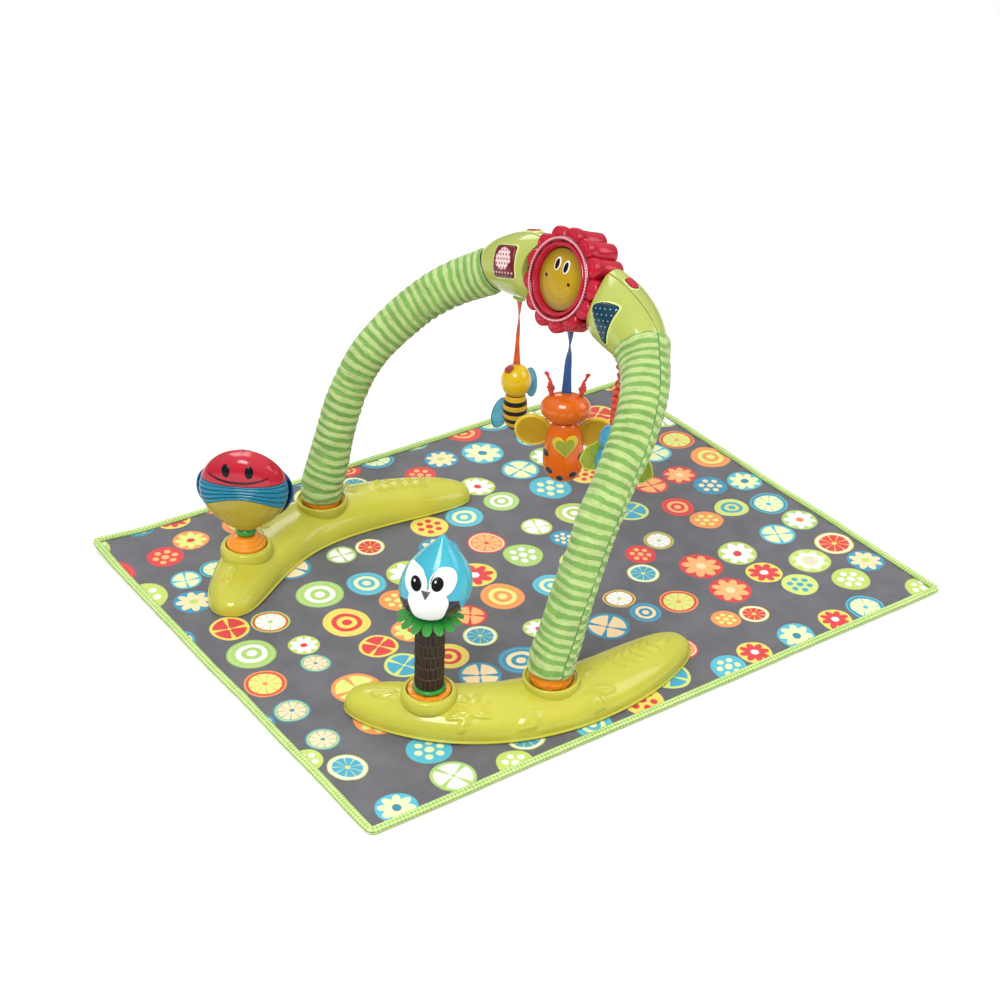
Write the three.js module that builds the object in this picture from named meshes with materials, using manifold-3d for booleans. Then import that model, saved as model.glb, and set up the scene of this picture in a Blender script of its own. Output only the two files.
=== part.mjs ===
// Activity play gym: a padded mat, two crescent bases, an arch in two cloth sleeves, a light and
// sound flower unit at its crown, three hanging toys and two toys that stand in the bases.
// Millimetres, +Z up. The origin is the middle of the mat on the floor, and +X runs along the mat.
import * as THREE from 'three';
import { mergeVertices } from 'three/addons/utils/BufferGeometryUtils.js';
import Module from 'manifold-3d';

const wasm = await Module();
wasm.setup();

// Clearances
const SEAT_GAP = 0.3; // between pieces that touch
const RUN_GAP = 0.5; // between pieces that turn or slide past each other
const RAD = Math.PI / 180;

// Mat
const MAT_LENGTH = 810;
const MAT_WIDTH = 638;
const MAT_THICK = 6;
const MAT_CORNER = 10;
const BINDING_DIA = 10;
const QUILT_DROP = 1.6; // how far the edge of the pad is drawn down to its binding

// Where the gym stands on the mat
const GYM_X = -141;
const GYM_Y = -23.5;
const GYM_TURN = 2.3 * RAD;
const LEG_MARGIN = 94.5; // from the mat's long side to each leg's axis

// Bases
const BASE_TURN = -5.2 * RAD; // each base's turn about its leg
const BASE_HALF_WIDTH = 43;
const BASE_HEIGHT = 34;
const BASE_WALL = 2.4;
const BASE_RIM = 2; // the foot flange stands out this far
const BASE_RIM_HEIGHT = 2.2;
const BASE_PLATE_THICK = 3;
const BASE_PLATE_INSET = 0.006; // the plate ends this share of the line inside the shell
const BASE_STATIONS = 13; // cross-sections along the crescent
const BASE_TIP = 0.002; // the share of the line that each blunt end leaves out
const BASE_FLOOR = MAT_THICK + SEAT_GAP;
const PLAN_POWER = 2.9; // how blunt the ends of the crescent are
const DOME_POWER = 2.2; // how full its cross-section is
const BASE_LINE = [
  [-183, 120],
  [-92, -10],
  [6, -33],
  [197, 24],
]; // control points of the crescent's centre line, from the leg's axis
const TOY_SOCKET_X = -124;
const TOY_SOCKET_Y = 47;

// Sockets and the plugs that stand in them
const SOCKET_TOP = 46;
const SOCKET_BALL_R = 31;
const SOCKET_TOWER_R = 25.5;
const SOCKET_BORE_R = 22.8;
const SOCKET_DEPTH = 29;
const LIP_HEIGHT = 2;
const LIP_WIDTH = 3;
const PLUG_PLAY = 0.8; // all round a plug in its bore
const PLUG_R = SOCKET_BORE_R - PLUG_PLAY;
const PLUG_SHOULDER = 10; // the leg tube stands this far above the socket's rim
const PLUG_GROOVES = 8;

// Arch
const ARCH_HALF_SPAN = MAT_WIDTH / 2 - LEG_MARGIN;
const ARCH_SWEEP = 200;
const ARCH_HEIGHT = 375;
const TUBE_R = 19.5;
const TUBE_WALL = 2.2;
const SLEEVE_FOOT_R = 26;
const SLEEVE_WAIST_R = 22.3;
const SLEEVE_TOP_R = 28.3;
const SLEEVE_WAIST = 0.4; // where the cloth is drawn in, as a share of the leg's line
const SLEEVE_FOOT_GAP = 4; // from the socket's rim to the sleeve's lower hem
const SLEEVE_EASE = 0.5; // between the tube and the cloth round it
const SLEEVE_GATHER = 0.9;
const SLEEVE_GATHERS = 10;
const TUBE_INSET = 13; // how far the tube runs into the lobe
const LEG_START = SOCKET_TOP + PLUG_SHOULDER;
const CROWN_Z = 0.53 * ARCH_HEIGHT; // everything of the crown lies above this
const ARCH_SHAPE = [
  { forward: 0, side: 1, up: 0 },
  { forward: 0.004, side: 1, up: 0.04 },
  { forward: 0.04, side: 1, up: 0.107 },
  { forward: 0.105, side: 1, up: 0.245 },
  { forward: 0.19, side: 0.998, up: 0.389 },
  { forward: 0.295, side: 0.975, up: 0.52 },
  { forward: 0.445, side: 0.931, up: 0.633 },
  { forward: 0.61, side: 0.864, up: 0.73 },
  { forward: 0.76, side: 0.771, up: 0.809 },
  { forward: 0.9, side: 0.628, up: 0.878 },
  { forward: 0.96, side: 0.499, up: 0.934 },
  { forward: 1, side: 0, up: 1 },
]; // shares of the sweep, the half span and the rise, from the foot to the crown

// Lobes of the crown unit
const LOBE_MOUTH_Y = 0.5924 * ARCH_HALF_SPAN; // where the lobe ends and the sleeve begins
const LOBE_END_Y = 50; // where the lobe meets the drum
const LOBE_SPAN = LOBE_MOUTH_Y - LOBE_END_Y;
const LOBE_STATIONS = [1, 0.964, 0.867, 0.7, 0.482, 0.241, 0]; // shares of that span
const LOBE_NECK_R = 25;
const LOBE_HALF_DEPTH = 36;
const LOBE_HALF_HEIGHT = 40;
const LOBE_FULL_Y = 66; // the lobe is fullest from here inwards
const LOBE_SWELL = 0.75; // how evenly it narrows towards its mouth
const LOBE_WALL = 2.9;
const LOBE_SHOULDER = 12; // how far the front of a lobe falls back beside the flower
const LOBE_SHOULDER_Y = 76;
const LOBE_PARTING_X = ARCH_SWEEP - 5;

// Flower unit
const FLOWER_X = ARCH_SWEEP - 29;
const FLOWER_Z = ARCH_HEIGHT + 8.5;
const FLOWER_TILT = 18 * RAD;
const PETALS = 13;
const PETAL_CENTRE_R = 48;
const PETAL_R = 12.5;
const BEZEL_DEPTH = 14;
const DRUM_DEPTH = 48;
const DRUM_SHRINK = 0.955; // the flutes of the drum against the petals of the bezel
const DRUM_WALL = 2.4;
const LENS_R = 35;
const LENS_PLAY = 0.5;
const RING_R = 45.5;
const RING_RISE = 2.2;
const DOOR_WIDTH = 62;
const DOOR_HEIGHT = 44;
const BOARD_THICK = 1.6;
const BATTERY_DIA = 14.5;
const BATTERY_LENGTH = 50.5;
const SPEAKER_R = 18;
const SPEAKER_DEPTH = 9;

// Buttons
const BUTTON_Y = LOBE_END_Y + 0.458 * LOBE_SPAN;
const BUTTON_ANGLE = 6 * RAD; // above the front of the lobe
const RHYTHM_Y = LOBE_END_Y + 0.506 * LOBE_SPAN;
const RHYTHM_ANGLE = -2 * RAD;
const RHYTHM_TURN = 33 * RAD; // the slice stands upright on the sloping lobe
const BUTTON_STAND = 2.6; // how far a button stands proud of the lobe
const BUTTON_RIM = 1.2;
const BUTTON_RIM_WIDTH = 2.6;
const BUTTON_THICK = 5.2;
const BUTTON_TRAVEL = 2;
const MELODY_WIDTH = 33;
const MELODY_HEIGHT = 36;
const RHYTHM_WIDTH = 34;
const RHYTHM_HEIGHT = 44;
const TOP_BUTTON_Y = LOBE_END_Y + 0.313 * LOBE_SPAN;
const TOP_BUTTON_ANGLE = 86 * RAD;
const TOP_BUTTON_WIDTH = 18;
const TOP_BUTTON_HEIGHT = 11;
const CARRIER_THICK = 2;

// Hanging toys
const STRAP_Y = LOBE_END_Y + 0.482 * LOBE_SPAN;
const STRAP_X = ARCH_SWEEP - 11;
const MIDDLE_STRAP_X = ARCH_SWEEP - 8;
const STRAP_TOP = ARCH_HEIGHT - 57;
const STRAP_LENGTH = 84;
const STRAP_BOTTOM = STRAP_TOP - STRAP_LENGTH;
const STRAP_WIDTH = 9;
const STRAP_THICK = 1.4;
const MIDDLE_STRAP_WIDTH = 12;
const BEETLE_STRAP_WIDTH = 12;
const BOSS_LENGTH = 15;
const BOSS_WIDTH = 9;
const TOY_TURN = -40.5 * RAD; // the way the hanging toys face

// Bee
const BEE_HEAD_R = 18.3;
const BEE_HEAD_HALF_HEIGHT = 21.3;
const BEE_BODY_R = 14.5;
const BEE_BODY_LENGTH = 50;
const BEE_WING_WIDTH = 20;
const BEE_WING_LENGTH = 42;
const BEE_WING_THICK = 4.5;

// Butterfly
const FLY_HEAD_HALF_WIDTH = 29.5;
const FLY_HEAD_HALF_DEPTH = 22;
const FLY_HEAD_HALF_HEIGHT = 19;
const FLY_BODY_R = 24;
const FLY_BODY_LENGTH = 79;
const FLY_WING_R = 21;
const FLY_WING_THICK = 5;
const FLY_WING_X = 37;
const FLY_WING_DROP = 18; // below the head
const HEART_WIDTH = 30;
const HEART_DROP = 22; // below the head
const HEART_THICK = 2;
const ANTENNA_LENGTH = 32;
const ANTENNA_R = 4.6;
const ANTENNA_X = 17;

// Beetle
const BEETLE_HEAD_R = 17.5;
const BEETLE_BODY_R = 20;
const BEETLE_WING_WIDTH = 27;
const BEETLE_WING_LENGTH = 40;
const BEETLE_WING_THICK = 4.5;
const BEETLE_LONG_WING_WIDTH = 30;
const BEETLE_LONG_WING_LENGTH = 44;

// Bird on its trunk
const BIRD_TURN = -48 * RAD; // the way the bird faces
const TRUNK_R = 16;
const TRUNK_FOOT = 53.5;
const TRUNK_TOP = 141;
const TRUNK_COURSES = 6;
const COLLAR_LEAVES = 12;
const COLLAR_R = 35.5;
const COLLAR_TOP = 147;
const LEAF_DROOP = 5;
const LEAF_THICK = 2.1;
const SPINDLE_R = 4;
const SPINDLE_LENGTH = 17;
const BIRD_R = 37.5;
const BIRD_HEIGHT = 94;
const BIRD_TIP_LEAN = 12.5;
const BIRD_FACE_X = 4.5; // the face sits a little to one side
const BIRD_EYE_X = 14; // each eye patch from the middle of the face
const BIRD_EYE_RISE = 55.5;
const BIRD_EYE_R = 14.5;
const BIRD_CHEEK_RISE = 30.5;
const BIRD_CHEEK_R = 23;
const BIRD_FACE_THICK = 1.3;

// Round spinner
const SPINNER_TURN = -42 * RAD; // the way the round face looks
const BEAD_R = 12.2;
const BEAD_FOOT = 60;
const BEAD_HEIGHT = 11;
const SPINNER_HALF_WIDTH = 51.5;
const SPINNER_HEIGHT = 100;
const SPINNER_FRONT = 25;
const SPINNER_BACK = 22;
const SPINNER_PARTING = 3;
const SPINNER_FOOT = BEAD_FOOT + BEAD_HEIGHT + RUN_GAP;
const BAND_TOP = 66; // above the round face's foot
const BAND_BOTTOM = 47;
const SEAM_DROP = 14; // how far the seam under the band falls towards the sides
const FACE_ROWS = [[0, 0.26], [0.05, 0.42], [0.15, 0.68], [0.3, 0.9], [0.48, 1], [0.64, 0.97],
  [0.78, 0.84], [0.89, 0.62], [0.965, 0.36], [1, 0.1]]; // shares of its height and half width
const BACK_ROWS = [[0, 0.22], [0.05, 0.4], [0.13, 0.68], [0.26, 0.96], [0.44, 1.1], [0.6, 1.07],
  [0.73, 0.9], [0.83, 0.64], [0.9, 0.36], [0.93, 0.1]]; // the back shell shows at both sides

const COLOUR = {
  mat: 0x5c5a60,
  binding: 0x9ccb5a,
  lime: 0xd6e04a,
  limeLobe: 0xcfdc6c,
  orange: 0xf08a1d,
  tube: 0xdadfd4,
  sleeve: 0x93cc62,
  red: 0xd22044,
  yellow: 0xe0ad12,
  navy: 0x175077,
  crimson: 0x7d1126,
  board: 0x2f7d4f,
  steel: 0x9a9ca0,
  battery: 0x3c3c42,
  white: 0xf2f2ee,
  ribbonOrange: 0xf0641e,
  ribbonBlue: 0x16539b,
  ribbonRed: 0xe2431c,
  beeYellow: 0xf4cd12,
  beeStripe: 0x2a2620,
  wingBlue: 0x63b7d8,
  butterfly: 0xee7412,
  mustard: 0xe2b320,
  olive: 0xa9b727,
  turquoise: 0x2aa5cf,
  trunk: 0x4a3526,
  leaf: 0x43ad4b,
  royal: 0x1557b0,
};
const GLOSS = { roughness: 0.25, metalness: 0 };
const SATIN = { roughness: 0.5, metalness: 0 };
const CLOTH = { roughness: 0.95, metalness: 0 };
const METAL = { roughness: 0.35, metalness: 0.8 };

const gym = new THREE.Group();
gym.position.set(GYM_X, GYM_Y, 0);
gym.rotation.z = GYM_TURN;
const part = new THREE.Group();
part.add(gym);

// Tools for closed bodies

const vec = (x, y, z) => new THREE.Vector3(x, y, z);
const steps = (count, make) => Array.from({ length: count }, (_, i) => make(i));
const blendTo = (a, b, t) => a + (b - a) * t;

// A signed power, which squares off or pinches a circle.
const bent = (value, power) => Math.sign(value) * Math.abs(value) ** power;

// Drops what isn't position, joins shared corners, removes slivers and turns the faces outwards.
function closedBody(geometry) {
  const bare = geometry.index ? geometry.toNonIndexed() : geometry.clone();
  bare.deleteAttribute('normal');
  bare.deleteAttribute('uv');
  const merged = mergeVertices(bare, 1e-3);
  const at = merged.attributes.position;
  const corner = (i) => vec(at.getX(i), at.getY(i), at.getZ(i));
  const kept = [];
  let volume = 0;
  for (let i = 0; i < merged.index.count; i += 3) {
    const [a, b, c] = [0, 1, 2].map((k) => merged.index.getX(i + k));
    if (a === b || b === c || c === a) continue;
    kept.push(a, b, c);
    volume += corner(a).dot(corner(b).cross(corner(c)));
  }
  if (volume < 0) kept.reverse();
  merged.setIndex(kept);
  return merged;
}

// A body through loops of equal length: closed by a fan at each end, or on itself as a ring.
function loft(loops, ring = false) {
  const count = loops[0].length;
  const places = [];
  const corner = (i, j) => loops[i % loops.length][j % count];
  const face = (a, b, c) => places.push(...a.toArray(), ...b.toArray(), ...c.toArray());
  const spans = ring ? loops.length : loops.length - 1;
  for (let i = 0; i < spans; i++) {
    for (let j = 0; j < count; j++) {
      face(corner(i, j), corner(i + 1, j), corner(i + 1, j + 1));
      face(corner(i, j), corner(i + 1, j + 1), corner(i, j + 1));
    }
  }
  const middle = (loop) => loop.reduce((sum, p) => sum.add(p), vec(0, 0, 0)).divideScalar(count);
  if (!ring) {
    const [first, last] = [loops[0], loops[loops.length - 1]];
    const [start, end] = [middle(first), middle(last)];
    for (let j = 0; j < count; j++) {
      face(start, first[j], first[(j + 1) % count]);
      face(end, last[(j + 1) % count], last[j]);
    }
  }
  const geometry = new THREE.BufferGeometry();
  geometry.setAttribute('position', new THREE.Float32BufferAttribute(places, 3));
  return closedBody(geometry);
}

// A body turned about Z from a profile of [radius, height] corners.
function turned(profile, segments = 16) {
  const points = profile.map(([r, z]) => new THREE.Vector2(r, z));
  return closedBody(new THREE.LatheGeometry(points, segments).rotateX(Math.PI / 2));
}

// A flat outline in XY, given thickness upwards from z.
function plate(shape, thick, z = 0, curveSegments = 6) {
  const flat = new THREE.ExtrudeGeometry(shape, { depth: thick, bevelEnabled: false, curveSegments });
  return closedBody(flat.translate(0, 0, z));
}

function circleLoop(radius, z, count, x = 0, y = 0) {
  const angle = (j) => (j / count) * 2 * Math.PI;
  return steps(count, (j) => vec(x + radius * Math.cos(angle(j)), y + radius * Math.sin(angle(j)), z));
}

function ovalLoop(halfX, halfY, z, count, x = 0, y = 0) {
  return circleLoop(1, 0, count).map((p) => vec(x + halfX * p.x, y + halfY * p.y, z));
}

function solidOf(geometry) {
  const body = new wasm.Mesh({
    numProp: 3,
    vertProperties: new Float32Array(geometry.attributes.position.array),
    triVerts: new Uint32Array(geometry.index.array),
  });
  return new wasm.Manifold(body);
}

function geometryOf(solid) {
  const body = solid.getMesh();
  const geometry = new THREE.BufferGeometry();
  const places = new Float32Array(body.vertProperties);
  geometry.setAttribute('position', new THREE.BufferAttribute(places, 3));
  geometry.setIndex(Array.from(body.triVerts));
  return geometry;
}

const cut = (geometry, ...tools) =>
  geometryOf(tools.reduce((solid, tool) => solid.subtract(solidOf(tool)), solidOf(geometry)));
const join = (geometry, ...others) =>
  geometryOf(others.reduce((solid, other) => solid.add(solidOf(other)), solidOf(geometry)));
const common = (geometry, other) => geometryOf(solidOf(geometry).intersect(solidOf(other)));

function block(width, depth, height, x = 0, y = 0, z = 0) {
  return closedBody(new THREE.BoxGeometry(width, depth, height).translate(x, y, z));
}

function piece(name, geometry, colour, finish, parent = gym) {
  const mesh = new THREE.Mesh(geometry, new THREE.MeshStandardMaterial({ color: colour, ...finish }));
  mesh.name = name;
  parent.add(mesh);
  return mesh;
}

function placed(parent, x, y, z, turn = 0) {
  const group = new THREE.Group();
  group.position.set(x, y, z);
  group.rotation.z = turn;
  parent.add(group);
  return group;
}

// Mat: a flat pad whose edge is drawn down to a rolled binding

function matOutline(inset, height, count = 13) {
  const radius = Math.max(MAT_CORNER - inset, 4);
  const [halfX, halfY] = [MAT_LENGTH / 2 - inset - radius, MAT_WIDTH / 2 - inset - radius];
  const loop = [];
  for (const [sx, sy, from] of [[1, 1, 0], [-1, 1, 90], [-1, -1, 180], [1, -1, 270]]) {
    for (let i = 0; i < count; i++) {
      const angle = (from + (90 * i) / (count - 1)) * RAD;
      const [x, y] = [sx * halfX + radius * Math.cos(angle), sy * halfY + radius * Math.sin(angle)];
      loop.push(vec(x, y, height));
    }
  }
  return loop;
}

function makeMat() {
  const edge = BINDING_DIA + SEAT_GAP;
  const rise = (inset, height) => matOutline(edge + inset, height, 5);
  const pad = loft([
    rise(2, 0),
    rise(0, 1),
    rise(0, MAT_THICK - QUILT_DROP - 1),
    rise(5, MAT_THICK - QUILT_DROP),
    rise(16, MAT_THICK),
  ]);
  piece('play_mat', pad, COLOUR.mat, CLOTH, part);
  const half = BINDING_DIA / 2;
  const round = half / Math.cos(Math.PI / 8);
  const binding = loft(
    steps(8, (i) => {
      const angle = ((i + 0.5) / 8) * 2 * Math.PI;
      return matOutline(half - round * Math.cos(angle), half + round * Math.sin(angle), 5);
    }),
    true,
  );
  piece('mat_binding', binding, COLOUR.binding, CLOTH, part);
}

// Bases: hollow crescents with a leg socket and a toy socket

const basePath = new THREE.CubicBezierCurve3(...BASE_LINE.map(([x, y]) => vec(x, y, 0)));

// One cross-section of the crescent: a blunt half oval that shrinks to nothing at both ends.
function baseSection(t, side, inset, count) {
  const reach = (1 - Math.abs(2 * t - 1) ** PLAN_POWER) ** (1 / PLAN_POWER);
  const width = Math.max(BASE_HALF_WIDTH * reach - inset, 0.6);
  const height = Math.max(BASE_HEIGHT * reach ** 0.8 - inset, 0.6);
  const centre = basePath.getPoint(t);
  const along = basePath.getTangent(t);
  const across = vec(-along.y, along.x, 0);
  const rim = inset ? 0 : BASE_RIM * reach;
  const foot = inset ? -1 : 0;
  const corners = [[1 + rim / width, foot], [1 + rim / width, inset ? 0 : BASE_RIM_HEIGHT]];
  for (let i = 1; i < count; i++) {
    const angle = (i / count) * Math.PI;
    const lift = bent(Math.sin(angle), 2 / DOME_POWER) * height;
    corners.push([bent(Math.cos(angle), 2 / DOME_POWER), Math.max(lift, foot + 0.2)]);
  }
  corners.push([-1 - rim / width, inset ? 0 : BASE_RIM_HEIGHT], [-1 - rim / width, foot]);
  return corners.map(([v, z]) => {
    const p = centre.clone().addScaledVector(across, v * width);
    return vec(p.x, p.y * side, z);
  });
}

const baseStations = steps(BASE_STATIONS - 1, (i) =>
  0.5 - 0.5 * Math.cos(((i + 1) / BASE_STATIONS) * Math.PI));

function crescent(side, inset, count) {
  const stations = inset ? baseStations.slice(1, -1) : [BASE_TIP, ...baseStations, 1 - BASE_TIP];
  return loft(stations.map((t) => baseSection(t, side, inset, count)));
}

// The ball-shaped bulge round a socket, with a lip, a bore and a tower that stands on the plate.
function socketBody() {
  const top = SOCKET_TOP - BASE_FLOOR;
  const meet = Math.acos(SOCKET_TOWER_R / SOCKET_BALL_R);
  const ball = steps(4, (i) => {
    const angle = meet * (1 - i / 3);
    return [SOCKET_BALL_R * Math.cos(angle), top - SOCKET_BALL_R * Math.sin(angle)];
  });
  return turned([
    [0, BASE_PLATE_THICK + SEAT_GAP],
    [SOCKET_TOWER_R, BASE_PLATE_THICK + SEAT_GAP],
    ...ball,
    [SOCKET_BALL_R - 0.4, top + LIP_HEIGHT - 0.6],
    [SOCKET_BALL_R - 1.2, top + LIP_HEIGHT],
    [0, top + LIP_HEIGHT],
  ]);
}

function socketHole() {
  const top = SOCKET_TOP - BASE_FLOOR;
  const mouth = SOCKET_BALL_R - LIP_WIDTH;
  return turned([
    [0, top - SOCKET_DEPTH],
    [SOCKET_BORE_R, top - SOCKET_DEPTH],
    [SOCKET_BORE_R, top - 3],
    [mouth, top - 1],
    [mouth, top + 20],
    [0, top + 20],
  ]);
}

function makeBase(name, side) {
  const group = placed(gym, 0, side * ARCH_HALF_SPAN, BASE_FLOOR, BASE_TURN);
  const toyX = TOY_SOCKET_X;
  const toyY = -side * TOY_SOCKET_Y;
  const shell = cut(crescent(-side, 0, 8), crescent(-side, BASE_WALL, 5));
  const sockets = join(socketBody(), socketBody().translate(toyX, toyY, 0));
  const holes = join(socketHole(), socketHole().translate(toyX, toyY, 0));
  piece(`${name}_base_shell`, cut(join(shell, sockets), holes), COLOUR.lime, GLOSS, group);
  const under = BASE_WALL + SEAT_GAP;
  const edge = (t, way) => {
    const reach = (1 - Math.abs(2 * t - 1) ** PLAN_POWER) ** (1 / PLAN_POWER);
    const width = Math.max(BASE_HALF_WIDTH * reach - under - 1.5, 0.3);
    const along = basePath.getTangent(t);
    const p = basePath.getPoint(t).addScaledVector(vec(-along.y, along.x, 0), way * width);
    return new THREE.Vector2(p.x, -side * p.y);
  };
  const kept = baseStations.slice(1, -1);
  kept[0] += BASE_PLATE_INSET;
  kept[kept.length - 1] -= BASE_PLATE_INSET;
  const rim = [...kept.map((t) => edge(t, 1)), ...kept.map((t) => edge(t, -1)).reverse()];
  const floor = plate(new THREE.Shape(rim), BASE_PLATE_THICK);
  piece(`${name}_base_plate`, floor, COLOUR.lime, SATIN, group);
  return placed(group, toyX, toyY, -BASE_FLOOR, -BASE_TURN);
}

// Arch: plugs, leg tubes and cloth sleeves on one swept line

function archLine(side) {
  const rise = ARCH_HEIGHT - LEG_START;
  const points = ARCH_SHAPE.map(({ forward, side: out, up }) =>
    vec(forward * ARCH_SWEEP, side * out * ARCH_HALF_SPAN, LEG_START + up * rise));
  const below = points[0].clone().setZ(LEG_START - 30);
  const beyond = points[points.length - 2].clone();
  beyond.y *= -1;
  return new THREE.CatmullRomCurve3([below, ...points, beyond], false, 'centripetal');
}

// The place on the line where |y| or z first passes a value.
function placeOn(line, reached) {
  let [low, high] = [0, 1];
  for (let i = 0; i < 40; i++) {
    const mid = (low + high) / 2;
    if (reached(line.getPoint(mid))) high = mid;
    else low = mid;
  }
  return high;
}

// A cross-section square to the line: half sizes towards the front and upwards.
function lineSection(line, t, halfFront, halfUp, count) {
  const centre = line.getPoint(t);
  const along = line.getTangent(t);
  const front = vec(-1, 0, 0.25);
  front.addScaledVector(along, -front.dot(along)).normalize();
  const up = front.clone().cross(along);
  if (centre.y < 0) up.negate();
  return steps(count, (j) => {
    const angle = (j / count) * 2 * Math.PI;
    return centre.clone().addScaledVector(front, halfFront * Math.cos(angle))
      .addScaledVector(up, halfUp * Math.sin(angle));
  });
}

// The cloth is drawn in below the middle of the leg and fuller at both hems.
function sleeveRadius(share) {
  const low = share < SLEEVE_WAIST;
  const off = Math.abs(share - SLEEVE_WAIST) / (low ? SLEEVE_WAIST : 1 - SLEEVE_WAIST);
  return blendTo(SLEEVE_WAIST_R, low ? SLEEVE_FOOT_R : SLEEVE_TOP_R, off ** 1.6);
}

function makeLeg(name, side) {
  const line = archLine(side);
  const start = placeOn(line, (p) => p.z > LEG_START + SEAT_GAP);
  const tubeEnd = placeOn(line, (p) => Math.abs(p.y) < LOBE_MOUTH_Y - TUBE_INSET && p.z > CROWN_Z);
  const top = placeOn(line, (p) => Math.abs(p.y) < LOBE_MOUTH_Y + SEAT_GAP && p.z > CROWN_Z);
  const stations = steps(10, (i) => blendTo(start, top, i / 9));
  const tubeStations = [...stations, blendTo(top, tubeEnd, 0.5), tubeEnd];
  const tubeLoop = (t, radius) => lineSection(line, t, radius, radius, 10);
  const outer = tubeStations.map((t) => tubeLoop(t, TUBE_R));
  const inner = tubeStations.map((t) => tubeLoop(t, TUBE_R - TUBE_WALL)).reverse();
  piece(`${name}_leg_tube`, loft([...outer, ...inner], true), COLOUR.tube, SATIN);

  const hemZ = SOCKET_TOP + LIP_HEIGHT + SLEEVE_FOOT_GAP;
  const hem = placeOn(line, (p) => p.z > hemZ);
  const rings = 2 * SLEEVE_GATHERS;
  const cover = steps(rings + 1, (i) => {
    const share = i / rings;
    const gather = i % 2 ? SLEEVE_GATHER : -SLEEVE_GATHER;
    const radius = sleeveRadius(share) + (i === 0 || i === rings ? 0 : gather);
    return lineSection(line, blendTo(hem, top, share), radius, radius, 12);
  });
  const bore = TUBE_R + SLEEVE_EASE;
  const below = placeOn(line, (p) => p.z > hemZ - 3);
  const lining = loft([below, ...tubeStations].map((t) => lineSection(line, t, bore, bore, 10)));
  piece(`${name}_sleeve`, cut(loft(cover), lining), COLOUR.sleeve, CLOTH);

  const count = 2 * PLUG_GROOVES;
  const grooved = (radius, z) => steps(count, (j) => {
    const r = j % 2 ? radius - 1.8 : radius;
    const angle = (j / count) * 2 * Math.PI;
    return vec(r * Math.cos(angle), r * Math.sin(angle), z);
  });
  const spigotR = TUBE_R - TUBE_WALL - SEAT_GAP - 1.6;
  const bottom = SOCKET_TOP - SOCKET_DEPTH + SEAT_GAP;
  const plug = loft([
    circleLoop(PLUG_R - 2, bottom, count),
    circleLoop(PLUG_R, bottom + 2, count),
    circleLoop(PLUG_R, SOCKET_TOP - 3, count),
    grooved(PLUG_R + 1.2, SOCKET_TOP - 1),
    grooved(PLUG_R + 1.2, SOCKET_TOP + 4),
    circleLoop(TUBE_R - 1, SOCKET_TOP + 4.6, count),
    circleLoop(TUBE_R - 1, LEG_START - 1.2, count),
    circleLoop(spigotR, LEG_START - 1, count),
    circleLoop(spigotR - 2, LEG_START + 14, count),
  ]);
  piece(`${name}_foot_plug`, plug.translate(0, side * ARCH_HALF_SPAN, 0), COLOUR.orange, GLOSS);
}

// Lobes: hollow swellings of the arch line, parted into a front and a rear shell

function lobeSize(y) {
  const share = Math.min(Math.max((y - LOBE_FULL_Y) / (LOBE_MOUTH_Y + 0.6 - LOBE_FULL_Y), 0), 1);
  const swell = (1 - share * share) ** LOBE_SWELL;
  const inwards = Math.max((LOBE_SHOULDER_Y - y) / (LOBE_SHOULDER_Y - LOBE_END_Y), 0);
  return {
    front: blendTo(LOBE_NECK_R, LOBE_HALF_DEPTH, swell) - LOBE_SHOULDER * inwards ** 1.6,
    up: blendTo(LOBE_NECK_R + 0.5, LOBE_HALF_HEIGHT, swell),
  };
}

function lobeLoop(side, y, offset, count) {
  const line = archLine(side);
  const t = placeOn(line, (p) => Math.abs(p.y) < y && p.z > CROWN_Z);
  const { front, up } = lobeSize(y);
  return lineSection(line, t, front + offset, up + offset, count);
}

function lobeBody(side, offset, count = 16, mouthReach = 0) {
  const places = LOBE_STATIONS.map((share) => blendTo(LOBE_END_Y, LOBE_MOUTH_Y, share));
  if (mouthReach) places.unshift(LOBE_MOUTH_Y + mouthReach);
  if (offset < 0) places.push(LOBE_END_Y - 8);
  return loft(places.map((y) => lobeLoop(side, y, offset, count)));
}

// A frame on the lobe's skin: origin on the skin, Z outwards, Y upwards along the skin.
function skinFrame(side, y, angle) {
  const line = archLine(side);
  const t = placeOn(line, (p) => Math.abs(p.y) < y && p.z > CROWN_Z);
  const { front, up } = lobeSize(y);
  const loop = lineSection(line, t, 1, 1, 4);
  const centre = line.getPoint(t);
  const toFront = loop[0].clone().sub(centre);
  const toUp = loop[1].clone().sub(centre);
  const origin = centre.clone().addScaledVector(toFront, front * Math.cos(angle))
    .addScaledVector(toUp, up * Math.sin(angle));
  const out = toFront.clone().multiplyScalar(Math.cos(angle) / front)
    .addScaledVector(toUp, Math.sin(angle) / up).normalize();
  const right = line.getTangent(t).multiplyScalar(side);
  right.addScaledVector(out, -right.dot(out)).normalize();
  const upwards = out.clone().cross(right).normalize();
  return new THREE.Matrix4().makeBasis(right, upwards, out).setPosition(origin);
}

function roundedBox(width, height, radius) {
  const [x, y] = [width / 2, height / 2];
  const shape = new THREE.Shape();
  shape.moveTo(-x + radius, -y);
  shape.lineTo(x - radius, -y);
  shape.absarc(x - radius, -y + radius, radius, -Math.PI / 2, 0, false);
  shape.absarc(x - radius, y - radius, radius, 0, Math.PI / 2, false);
  shape.absarc(-x + radius, y - radius, radius, Math.PI / 2, Math.PI, false);
  shape.absarc(-x + radius, -y + radius, radius, Math.PI, 1.5 * Math.PI, false);
  return shape;
}

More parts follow.
